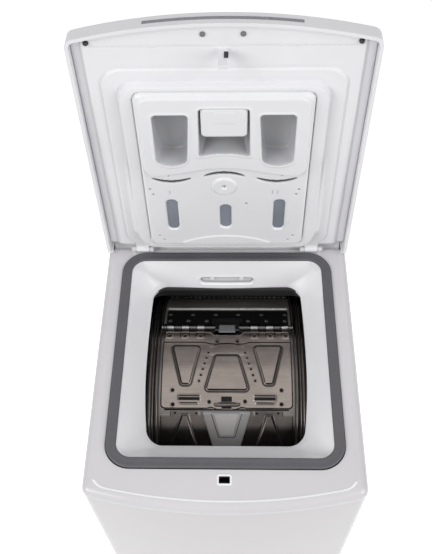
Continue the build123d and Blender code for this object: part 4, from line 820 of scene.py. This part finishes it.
# %% [markdown]
# ## The drum's pressed steel
# The drum lies across the machine, so its sheet is a cylinder, and every pressing is a small change of
# radius over a grid of widths and angles. Angles are measured from the drum's top, positive to the back.
# Holes are dimples whose bottom a mask paints black, as painted shade for the dark seen through them; the
# same mask paints shade into rims and gaps. The named radii are those of the sheets before they are
# pressed.

# %% Points on the drum
REAR_SHEET, END_SHEET, REAR_FLAP, FRONT_FLAP = 232.7, 232.6, 234.1, 233.95
BEAD_BASE, DASH_TOP, CARRIER_TOP, BUTTON_TOP = 233.2, 234.6, 238.0, 237.9


def on_drum(x, angle, radius):
    """Points at a width, an angle in degrees from the top, and a radius from the drum's axis."""
    a = np.radians(angle)
    return np.stack([x, radius * np.sin(a), AXIS_Z + radius * np.cos(a)], axis=-1)


def arc_mm(angle):
    """Millimetres along the drum's skin for an angle in degrees."""
    return np.radians(angle) * SKIN


def drum_grid(name, half, low, high, pitch, shape, body, material, keep=None):
    """A pressed sheet on the drum: shape gives the radius and the mask of painted black shade at each width
    and angle.
    """
    columns = int(round(2 * half / pitch)) + 1
    rows = int(round((arc_mm(high) - arc_mm(low)) / pitch)) + 1
    x, angle = np.meshgrid(np.linspace(-half, half, columns), np.linspace(low, high, rows))
    radius, hole = shape(x, angle)
    quads = quads_of(*x.shape) if keep is None else cells_within(x.shape, keep(x, angle), 0.4)
    new_piece(name, on_drum(x, angle, radius), quads, body, "stainless", material, flip=True, hole=hole)


def skin_box(x, s, x0, x1, low, high, r):
    """Distance on the drum's skin to a rounded rectangle between two widths and two angles."""
    return box_distance(x, s, x0, x1, arc_mm(low), arc_mm(high), r)


def skin_polygon(x, y, corners, r):
    """Distance on the drum's skin to a convex polygon of widths and angles, anticlockwise, rounded by r.

    Inside it is the distance past the nearest side; outside, the distance to the nearest point of any side.
    The polygon is first drawn in by r, and the whole is grown back by r."""
    corners = [(a, arc_mm(b)) for a, b in corners]
    lines = []
    for (ax, ay), (bx, by) in zip(corners, corners[1:] + corners[:1]):
        length = math.hypot(bx - ax, by - ay)
        nx, ny = (by - ay) / length, (ax - bx) / length
        lines.append((nx, ny, nx * ax + ny * ay - r))
    inner = []
    for (ax, ay, ac), (bx, by, bc) in zip(lines[-1:] + lines[:-1], lines):
        cross = ax * by - ay * bx
        inner.append(((ac * by - bc * ay) / cross, (ax * bc - bx * ac) / cross))
    past = np.full_like(x, -1e9)
    near = np.full_like(x, 1e9)
    for (ax, ay), (bx, by), (nx, ny, c) in zip(inner, inner[1:] + inner[:1], lines):
        past = np.maximum(past, nx * x + ny * y - c)
        ex, ey = bx - ax, by - ay
        t = np.clip(((x - ax) * ex + (y - ay) * ey) / (ex * ex + ey * ey), 0, 1)
        near = np.minimum(near, np.hypot(x - ax - t * ex, y - ay - t * ey))
    return np.where(past > 0, near, past) - r


# %% [markdown]
# Behind the rear hinge the sheet has a band with two rows of rivets, a long bead, and a row of slots. A
# strip of it behind the hinge and a line along the slots are painted black as shade.

# %% Rear band of the drum
DASH_ROW = 43.3
ROW_ONE = [-102.9, -62.2, -20.8, 19.9, 61.5, 103.6]
ROW_TWO = [-102.0, -69.5, -36.8, 36.9, 69.8, 102.6]


def rear_band_shape(x, angle):
    """Radius and painted black shade of the sheet behind the rear hinge."""
    s = arc_mm(angle)
    radius = np.full_like(x, REAR_SHEET)
    # A strip behind the hinge is painted black: painted shade.
    hole = ramp(skin_box(x, s, -108, 108, 16.4, 27.6, 3), 1.0)
    for row, level in ((ROW_ONE, 24.4), (ROW_TWO, 19.8)):
        for x0 in row:
            away = np.hypot(x - x0, s - arc_mm(level))
            radius += 1.1 * ramp(away - 1.6, 1.8) - 0.9 * ramp(away - 0.4, 1.2)
            # The rivets' rims are left almost free of the painted shade.
            hole = np.where((away > 1.3) & (away < 3.3), hole * 0.2, hole)
    bead = skin_box(x, s, -112, 112, 30.0, 31.0, 2)
    radius += 2.0 * ramp(bead, 2.6) - 0.7 * groove(bead - 4.4, 1.2)
    # A black line of painted shade runs along the row of slots.
    hole = np.maximum(hole, 0.97 * ramp(np.abs(s - arc_mm(DASH_ROW)) - 3.6, 1.2))
    edge = np.minimum(116 - np.abs(x), np.minimum(s - arc_mm(16), arc_mm(62) - s))
    radius -= 1.2 * ramp(edge, 1.2)
    return radius, hole


def side_band_shape(x, angle):
    """Rolled ridges at both ends of the drum: two broad rims and a narrow bead between them."""
    along = np.abs(x)
    rims = ramp(np.abs(along - 119) - 2.2, 1.0) + ramp(np.abs(along - 131.5) - 2.4, 1.0)
    radius = END_SHEET + 1.65 * rims + 0.9 * groove(along - 125.2, 1.6)
    # Painted shade: a line along the flap's edge, and two beside the bead between the rims.
    shadow = 0.9 * groove(along - 115.4, 1.5)
    return radius, shadow + 0.85 * (groove(along - 123.4, 1.3) + groove(along - 127.6, 1.3))


def beyond_flaps(x, angle):
    """Distance that keeps only the strips outside the flaps."""
    return 114.0 - np.abs(x)


drum_grid("drum_side_bands", 134.2, -62.0, 62.0, 0.9, side_band_shape, "drum", SHADED_STEEL, beyond_flaps)
drum_grid("drum_rear_band", 112.5, 16.0, 62.0, 1.1, rear_band_shape, "drum", SHEEN_BAND_STEEL)

# %% [markdown]
# The long bead and the row of short pressed slots carry a painted highlight in a pale steel, so they are
# narrow strips of their own, laid over the band.

# %% Bead and pressed slots
def bead_shape(x, angle):
    """A low rounded bar the width of the flap."""
    edge = skin_box(x, arc_mm(angle), -110, 110, 28.3, 29.9, 2.5)
    return BEAD_BASE + 2.2 * ramp(edge + 2.6, 2.6), np.zeros_like(x)


def dash_distance(x, angle):
    """Distance to the nearest of a row of dashes 8.8 mm apart."""
    pitch = 8.8
    off_row = np.abs(arc_mm(angle) - arc_mm(DASH_ROW))
    return np.maximum(np.abs((x + pitch / 2) % pitch - pitch / 2) - 2.6, off_row - 1.0)


def dash_shape(x, angle):
    """Each dash is raised, and lowered at its rim."""
    return DASH_TOP - 1.4 * ramp(-dash_distance(x, angle) - 0.1, 0.8), np.zeros_like(x)


drum_grid("drum_bead", 110.5, 28.2, 30.0, 0.6, bead_shape, "drum", HIGHLIGHT_STEEL)
drum_grid("drum_dashes", 107.8, 42.9, 43.7, 0.6, dash_shape, "drum", HIGHLIGHT_STEEL, dash_distance)

# %% [markdown]
# The rear flap is the bright one: three tapering fields pressed up, rows of holes between them, two louvred
# slots, and a latch in its lower edge. Its fields are convex polygons with softened rims.

# %% Rear flap
FIELDS = [
    [(-96.0, 5.0), (-77.5, -12.9), (-61.3, -12.9), (-44.8, 5.0)],
    [(-20.2, 0.4), (-37.4, -15.3), (38.4, -15.3), (20.4, 0.4)],
    [(45.0, 5.0), (63.2, -12.8), (79.1, -12.8), (96.5, 5.0)],
]
FLAP_HOLES = [(-31.6, 1.5), (-34.6, -1.0), (-37.6, -3.5), (-40.6, -6.0), (-43.6, -8.6), (-46.6, -11.1),
              (31.4, 1.5), (34.6, -1.0), (37.8, -3.5), (41.2, -6.0), (44.6, -8.6), (48.3, -11.0)]
CORNER_HOLES = [(-91, -15.0), (92, -14.9), (-90, -20.8), (91.7, -20.6), (-29.0, -19.7), (30.9, -19.5)]
LEAF_HOLES = [(-100.4, 10.2), (-73.7, 10.2), (-46.5, 10.2), (47.9, 10.3), (75.3, 10.4), (102.2, 10.4),
              (-17.0, 7.3), (18.1, 7.4)]
TABS = [-100.4, -73.7, -46.5, 47.9, 75.3, 102.2]


def flap_outline(x, angle):
    """Distance to the rear flap's outline: rounded lower corners and a top edge dipped in its middle."""
    s = arc_mm(angle)
    dip = 7.0 * ramp(np.abs(x) - 22, 8)
    top = arc_mm(13.2) - dip
    low = arc_mm(-22.6) + 1.6 * ramp(np.abs(np.abs(x) - 24) - 3, 6) - 1.6 * ramp(np.abs(x) - 20, 5)
    return corner_distance(np.abs(x) - 111.4, np.maximum(low - s, s - top), 8)


def flap_fields(x, s, radius, hole):
    """Adds the three pressed fields with rims of painted shade, the hinge tabs, the hump and the pleat."""
    for corners in FIELDS:
        field = skin_polygon(x, s, corners, 6.0)
        radius += 2.6 * ramp(field + 3.8, 3.0) - 0.6 * groove(field - 1.6, 2.0)
        # Each field's rim is painted black as shade, broadest along its top edge.
        hole = np.maximum(hole, 0.95 * groove(field - 1.0, 2.7))
        hole = np.maximum(hole, 0.97 * groove(field + 0.2, 3.9) * (s > arc_mm(corners[0][1]) - 5))
    for x0 in TABS:
        radius += 0.9 * ramp(skin_box(x, s, x0 - 7, x0 + 7, 9.0, 15, 3), 1.2)
    hump = np.hypot(x / 1.9, s - arc_mm(2.4)) - 13
    radius += 0.9 * ramp(hump, 5.0) * (s > arc_mm(0.4))
    pleat = s - arc_mm(6.4) + 3.5 * ramp(np.abs(x) - 26, 16)
    return radius + 0.8 * ramp(pleat, 3.0), hole


def flap_cuts(x, s, radius, hole):
    """Sinks the holes with their rims, and the two louvred slots, and paints them black as shade."""
    for x0, level in FLAP_HOLES + CORNER_HOLES + LEAF_HOLES:
        big = 1.7 if (x0, level) in FLAP_HOLES else 2.8
        away = np.hypot(x - x0, s - arc_mm(level)) - big
        radius += 0.5 * groove(away - 0.9, 1.0) - 0.6 * ramp(away, 0.6)
        hole = np.maximum(hole, ramp(away - 0.2, 0.6))
    for x0 in (-63.0, 64.5):
        for level, half, tall in ((-17.1, 17.5, 0.55), (-18.5, 17.5, 1.9), (-20.1, 14.5, 0.5)):
            line = box_distance(x, s, x0 - half, x0 + half, arc_mm(level) - tall, arc_mm(level) + tall, 0.5)
            radius += 0.9 * groove(line - 1.2, 1.2)
            hole = np.maximum(hole, ramp(line, 0.7))
    return radius, hole


def flap_latch(x, s, radius, hole):
    """Sinks the latch's two openings, paints them black as shade, and lays its short rod over a patch of
    painted shadow.
    """
    openings = np.minimum(skin_box(x, s, -8.6, 8.6, -19.6, -17.6, 0.8),
                          skin_box(x, s, -8.0, 8.0, -22.4, -21.5, 0.6))
    hole = np.maximum(hole, ramp(openings, 0.7))
    radius -= 0.5 * ramp(openings, 0.8)
    # A patch of painted shadow round the rod.
    hole = np.maximum(hole, 0.92 * ramp(skin_box(x, s, -13, 15, -21.5, -20.0, 1), 1.6))
    middle = arc_mm(-20.75)
    rod = box_distance(x, s, -19.2, 21.2, middle - 0.8, middle + 0.8, 0.8)
    radius += 1.6 * ramp(rod, 0.8) + 1.0 * ramp(np.hypot(x - 1, s - arc_mm(-20.7)) - 2.4, 0.8)
    return radius, np.maximum(hole * (1 - ramp(rod, 0.5)), 0.95 * groove(rod - 1.5, 1.2))


def rear_flap_shape(x, angle):
    """Radius and painted black shade of the rear flap's skin, lowered at its rim."""
    s = arc_mm(angle)
    radius, hole = flap_fields(x, s, np.full_like(x, REAR_FLAP), np.zeros_like(x))
    radius, hole = flap_cuts(x, s, radius, hole)
    radius, hole = flap_latch(x, s, radius, hole)
    edge = -flap_outline(x, angle)
    return radius + 0.5 * groove(edge - 3.0, 2.2) - 1.6 * ramp(edge - 0.2, 0.9), hole


drum_grid("rear_flap_skin", 111.8, -22.7, 13.4, 0.82, rear_flap_shape, "rear_flap_leaf", FLAP_STEEL,
          flap_outline)

# %% [markdown]
# The hinge's eyes are rolled from the two sheets in turn, so short tubes of the flap and of the drum
# alternate along the rod.

# %% Hinge eyes
ROD_ANGLE, ROD_RADIUS = 14.6, 236.3


def hinge_eyes(name, spans, radius, body, material):
    """Each eye is a profile, rounded at both ends, carried round the rod's line."""
    rod = on_drum(np.array(0.0), ROD_ANGLE, ROD_RADIUS)
    turn = np.linspace(0, 2 * np.pi, 22, endpoint=False)
    half_out = np.array([3.0, radius - 0.7, radius - 0.2, radius])
    out = np.concatenate([half_out, half_out[::-1]])[:, None]
    y, z = rod[1] + out * np.cos(turn), rod[2] + out * np.sin(turn)
    eyes = []
    for x0, x1 in spans:
        along = np.array([x0, x0, x0 + 0.4, x0 + 1.0, x1 - 1.0, x1 - 0.4, x1, x1])[:, None]
        eyes.append(np.stack([along + 0 * turn, y, z], -1))
    cells = quads_of(8, 22, wrap_columns=True)
    new_piece(name, *repeated(eyes, cells), body, "stainless", material)


between_tabs = [(x - 5.6, x + 5.6) for x in (-87, -60.2, 61.6, 88.8)] + [(-112.6, -107.8), (109.6, 113.4)]
hinge_eyes("flap_eyes", [(x - 6.4, x + 6.4) for x in TABS], 4.3, "rear_flap_leaf", SLOTS["steel"])
hinge_eyes("drum_eyes", between_tabs, 4.1, "drum", SLOTS["stainless"])

# %% [markdown]
# The front flap slopes away under the funnel's lip. Two upside-down V pressings stiffen it on each side of
# the grey carrier plate.

# %% Front flap
def front_flap_shape(x, angle):
    """Radius and painted black shade of the front flap's skin."""
    s = arc_mm(angle)
    radius = np.full_like(x, FRONT_FLAP)
    hole = np.zeros_like(x)
    for x0 in (-70.0, 70.8):
        drop = arc_mm(-25.4) - s
        leg = np.abs(x - x0) - (4.0 + 0.33 * np.maximum(drop, 0))
        field = np.maximum(leg, -drop)
        radius += 2.0 * ramp(field + 1.5, 3.2) - 0.5 * groove(field - 2.4, 2.0)
        # Painted shade: a half-black line round each V, and black in the four holes.
        hole = np.maximum(hole, 0.5 * groove(field - 1.4, 1.6))
    step = s - arc_mm(-25.0)
    radius -= 0.8 * ramp(-step, 2.0) * (np.abs(np.abs(x) - 70) > 24) * (np.abs(x) > 44)
    for x0, level in ((-86.0, -24.2), (86.0, -24.2), (-50.5, -24.3), (50.5, -24.3)):
        away = np.hypot(x - x0, s - arc_mm(level)) - 1.6
        hole = np.maximum(hole, ramp(away, 0.8))
    edge = np.minimum(111.4 - np.abs(x), np.minimum(arc_mm(-23.25) - s, s - arc_mm(-41.3)))
    radius -= 1.3 * ramp(edge, 1.0)
    return radius, hole


def under_carrier(x, angle):
    """Distance that keeps the skin only outside the grey carrier plate."""
    drop = arc_mm(-23.0) - arc_mm(angle)
    return 38.5 - 0.36 * drop - np.abs(x)


drum_grid("front_flap_skin", 111.6, -41.4, -23.2, 1.0, front_flap_shape, "front_flap_leaf", SHADED_STEEL,
          under_carrier)

# %% [markdown]
# The grey carrier and its release button fill the gap between the two V pressings. Both are tapering plates
# with lowered rims; between them is the gap that lets the button move, darkened by a line of painted shade.

# %% Carrier and button faces
CARRIER = [(-40.4, -24.3), (-21.0, -38.9), (21.6, -38.9), (40.6, -24.3)]
BUTTON = [(-23.6, -24.3), (-11.8, -33.3), (12.6, -33.3), (23.8, -24.3)]


def plate_on_drum(name, outline, body, radius, material, gap=None):
    """A plate inside an outline, lowered at its rim; gap is an inner outline that it leaves open."""
    x, angle = np.meshgrid(np.linspace(-41, 41, 110), np.linspace(-39.0, -24.2, 82))
    s = arc_mm(angle)
    keep = skin_polygon(x, s, outline, 1.5)
    hole = np.zeros_like(x)
    if gap is not None:
        opening = skin_polygon(x, s, gap, 1.5)
        keep = np.maximum(keep, 0.1 - opening)
        # A line of painted shade on the carrier along the gap beside the button.
        hole = ramp(opening - 2.0, 0.8)
    height = radius - 1.4 * ramp(-keep - 0.2, 1.3)
    quads = cells_within(x.shape, keep, 0.3, every=True)
    new_piece(name, on_drum(x, angle, height), quads, body, "grey_plastic", material, flip=True, hole=hole)


plate_on_drum("carrier_face", CARRIER, "front_flap_leaf", CARRIER_TOP, CARRIER_GREY, BUTTON)
inside_gap = [(a * 0.93, b * 0.994 - 0.25) for a, b in BUTTON]
plate_on_drum("button_face", inside_gap, "flap_key", BUTTON_TOP, LATCH_GREY)

# %% [markdown]
# The hinge block between the two halves of the rod is a dark frame with a lighter pad in it. Both stand a
# little over the rod.

# %% Hinge block frame and pad
def pad_on_drum(name, half, low, high, radius, line, material, slot):
    """A rounded plate with a lowered rim over the hinge's middle; line is the height of its border."""
    wide = half + 0.2
    x, angle = np.meshgrid(np.linspace(-wide, wide, 50), np.linspace(low - 0.05, high + 0.05, 36))
    edge = skin_box(x, arc_mm(angle), -half, half, low, high, 1.3)
    quads = cells_within(x.shape, edge, 0.4, every=True)
    height = radius + line * groove(-edge - 2.0, 1.2) - 1.5 * ramp(-edge - 0.1, 1.2)
    new_piece(name, on_drum(x, angle, height), quads, "drum", slot, material, flip=True)


pad_on_drum("hinge_frame", 21.6, 12.3, 18.2, 240.2, 0.4, SLOTS["black_plastic"], "black_plastic")
pad_on_drum("hinge_pad", 14.6, 11.1, 15.3, 241.2, 0.0, PAD_GREY, "grey_plastic")

# %% [markdown]
# ## Small fittings
# A raised rim lines the lock's slot. Screw heads are low domes with a cross pressed into them. They are all
# one mesh, so many screws cost little.

# %% Lock rim and screws
def lock_rim():
    """A small round-cornered ring round the slot, its section a half circle."""
    box = (-10.7, 10.7, -264.2, -247.8)
    rings = []
    for a in np.linspace(0, np.pi, 9):
        inset = 1.5 + 1.5 * math.cos(a)
        ring = loop_rounded(box, inset, 3.8 - inset * 0.9, 8, 6, 6)
        rings.append(at_level(ring, TOP_Z - 0.1 + 0.9 * math.sin(a)))
    new_piece("lock_rim", *loft(rings), "cabinet", "white_plastic", LIT_WHITE)


def rear_screws(radius=4.2, back=288.0):
    """Domed heads on the back sheet: rings of a dome, sunk near either arm of a cross."""
    share = np.linspace(0, 1, 9)[:, None]
    turn = np.linspace(0, 2 * np.pi, 32, endpoint=False)
    a, b = share * np.cos(turn) * radius, share * np.sin(turn) * radius
    cross = np.minimum(np.abs(a), np.abs(b)) - 0.45
    dome = 2.4 * np.sqrt(np.clip(1 - 0.92 * share ** 2, 0, 1))
    height = dome - 1.2 * ramp(cross, 0.5) * ramp(np.hypot(a, b) - 2.3, 0.6)
    places = [(x, z) for x in (-186, -62, 62, 186) for z in (60, 790)]
    places += [(x, z) for x in (-186, 186) for z in (300, 545)]
    heads = [np.stack([x + a, back + height, z - b], -1) for x, z in places]
    new_piece("rear_screws", *repeated(heads, quads_of(9, 32, wrap_columns=True)), "cabinet", "steel")


lock_rim()
rear_screws()

# %% [markdown]
# The console behind the lid has raised marks: thirteen ticks round the knob, and one to four short bars
# over the buttons, so each can be told apart by touch. They lie on the sloping fascia, whose plane the CAD
# gives.

# %% Console marks
KNOB_X, KNOB_Y = 128.0, 223.7
FASCIA_Y, FASCIA_Z, FASCIA_SLOPE = 195.0, 863.5, 0.1885
LEAN, UPRIGHT = 0.185, 0.983
BUTTON_PLACES, BUTTON_MARKS_Y, MARK_PITCH = (-150, -104, -76, 70), 236.5, 2.6
TICK_START, MARK_HALF_WIDTH = 28.4, 0.55


def console_marks():
    """Low rounded bars: each has a centre, a direction from straight back and a half length."""
    bars = []
    for step, turn in enumerate(np.radians(np.linspace(-144, 144, 13))):
        half = 2.4 if step % 3 == 0 else 1.5
        away = TICK_START + half
        bars.append((KNOB_X + away * math.sin(turn), KNOB_Y + UPRIGHT * away * math.cos(turn), turn, half))
    for count, middle in enumerate(BUTTON_PLACES, start=1):
        first = middle - MARK_PITCH * (count - 1) / 2
        bars += [(first + MARK_PITCH * k, BUTTON_MARKS_Y, 0.0, 2.0) for k in range(count)]
    u, v = np.meshgrid(np.linspace(-1, 1, 9), np.linspace(-1, 1, 7), indexing="ij")
    lift = 0.07 + 0.42 * (1 - u ** 8) * (1 - v ** 4)
    grids = []
    for x0, y0, turn, half in bars:
        along, across = half * u, MARK_HALF_WIDTH * v
        x = x0 + along * math.sin(turn) + across * math.cos(turn)
        y = y0 + UPRIGHT * (along * math.cos(turn) - across * math.sin(turn))
        z = FASCIA_Z + FASCIA_SLOPE * (y - FASCIA_Y) + UPRIGHT * lift
        grids.append(np.stack([x, y - LEAN * lift, z], -1))
    marks = repeated(grids, quads_of(*u.shape))
    new_piece("console_marks", *marks, "cabinet", "grey_plastic", PAD_GREY, flip=True)


console_marks()

# %% [markdown]
# The top's edge is a broad fillet that runs round the bowed front and both sides. It is drawn again as a
# quarter circle carried along the outline, so that its highlight is one clean line. An inset outline keeps
# the bow and tightens the corners.

# %% Top edge
def bowed_outline(inset, rear=130.0, corner=None):
    """Plan points from the left rear, round the bowed front, to the right rear, drawn in by inset.

    The front is an arc through three points; each corner is a smaller arc inside it, touching it and the
    side. The corner's radius is 14 mm less the inset, unless it is given."""
    half = HALF - inset
    rise = BOW * (half / HALF) ** 2
    big = (half ** 2 + rise ** 2) / (2 * rise)
    r = corner or max(14.0 - inset, 0.4)
    lean = math.asin((half - r) / (big - r))
    centre_y = FRONT_Y + inset + big - (big - r) * math.cos(lean)
    swing = np.linspace(0, lean, 60, endpoint=False)
    turn = np.linspace(lean - np.pi / 2, 0, 16)
    side_y = np.linspace(centre_y, rear, 50)[1:]
    x = np.concatenate([big * np.sin(swing), half - r + r * np.cos(turn), np.full(len(side_y), half)])
    y = np.concatenate([FRONT_Y + inset + big * (1 - np.cos(swing)), centre_y + r * np.sin(turn), side_y])
    return np.column_stack([np.concatenate([-x[:0:-1], x]), np.concatenate([y[:0:-1], y])])


def top_edge():
    """A flat, a low bead 13 mm in, then most of a quarter circle of 11 mm whose end tucks into the skirt.

    Along the front the bead has a painted highlight: its strip takes the paler white."""
    fillet = 11.0
    flat = ((18.0, 0.03), (14.6, 0.05), (13.9, 0.22), (13.1, 0.36), (12.2, 0.26))
    rings = [at_level(bowed_outline(inset, corner=24.0), TOP_Z + over) for inset, over in flat]
    for a in np.linspace(0, 1.45, 14):
        plan = bowed_outline(fillet * (1 - math.sin(a)) - 0.05 * math.sin(a))
        rings.append(at_level(plan, TOP_Z - fillet + (fillet + 0.08) * math.cos(a)))
    points = np.stack(rings + [at_level(bowed_outline(0.5), TOP_Z - fillet + 0.2)])
    quads = quads_of(*points.shape[:2])
    piece = new_piece("top_edge", points, quads, "cabinet", "white_plastic", [TOP_WHITE, LIT_WHITE])
    row = (quads // points.shape[1]).min(axis=1)
    front = points.reshape(-1, 3)[quads, 1].max(axis=1) < -256
    # The front part of the bead takes the paler white: a painted highlight.
    painted_highlight = (front & (row >= 1) & (row <= 3)).astype(np.int32)
    piece.data.polygons.foreach_set("material_index", painted_highlight)


top_edge()

# %% [markdown]
# ## Floor and light
# The photograph has a plain white ground and soft light from all round, with a little more from the upper
# left. Three large lamps and a pale world do that. The floor is white to the camera, yet still takes the
# shadow.

# %% Stage
def seen_straight(tree):
    """1 for rays that come from the camera, directly or through a reflection or a clear surface."""
    path = tree.nodes.new("ShaderNodeLightPath").outputs
    seen = maths(tree, "MAXIMUM", path["Is Camera Ray"], path["Is Glossy Ray"])
    return maths(tree, "MAXIMUM", seen, path["Is Transmission Ray"])


def stage_floor(size=6000.0):
    """A wide pale floor whose extra white shows only to the camera and in reflections."""
    x, y = np.meshgrid(np.linspace(-size, size, 9), np.linspace(-size, size, 9))
    mesh, _ = new_mesh("floor", np.stack([x, y, np.zeros_like(x)], -1), quads_of(9, 9), flip=True)
    floor = bpy.data.objects.new("floor", mesh)
    bpy.context.scene.collection.objects.link(floor)
    material = bpy.data.materials.new("floor_white")
    material.use_nodes = True
    tree = material.node_tree
    shader = tree.nodes["Principled BSDF"]
    settings = {"Base Color": (0.8, 0.8, 0.8, 1), "Roughness": 0.9, "Specular IOR Level": 0.1,
                "Emission Color": (1, 1, 1, 1)}
    for label, value in settings.items():
        shader.inputs[label].default_value = value
    tree.links.new(maths(tree, "MULTIPLY", seen_straight(tree), 0.62), shader.inputs["Emission Strength"])
    mesh.materials.append(material)


def lamp(name, place, target, size, power):
    """A square area lamp at a place in metres, aimed at a target."""
    data = bpy.data.lights.new(name, "AREA")
    data.shape = "SQUARE"
    data.size = size
    data.energy = power
    light = bpy.data.objects.new(name, data)
    bpy.context.scene.collection.objects.link(light)
    light.location = place
    light.rotation_euler = (Vector(target) - Vector(place)).to_track_quat("-Z", "Y").to_euler()


stage_floor()
lamp("key", (-2.0, -1.6, 2.6), (0, 0, 0.8), 1.8, 50)
lamp("fill", (2.2, -1.4, 2.4), (0, 0, 0.8), 2.0, 43)
lamp("over", (0.1, 0.1, 3.3), (0, 0, 0.8), 2.2, 5)
world = bpy.data.worlds.new("studio")
world.use_nodes = True
sky = world.node_tree.nodes["Background"]
sky.inputs["Color"].default_value = (1, 1, 1, 1)
brightness = maths(world.node_tree, "MULTIPLY_ADD", seen_straight(world.node_tree), 0.66, 0.34)
world.node_tree.links.new(brightness, sky.inputs["Strength"])
bpy.context.scene.world = world
bpy.context.scene.view_settings.view_transform = "Standard"
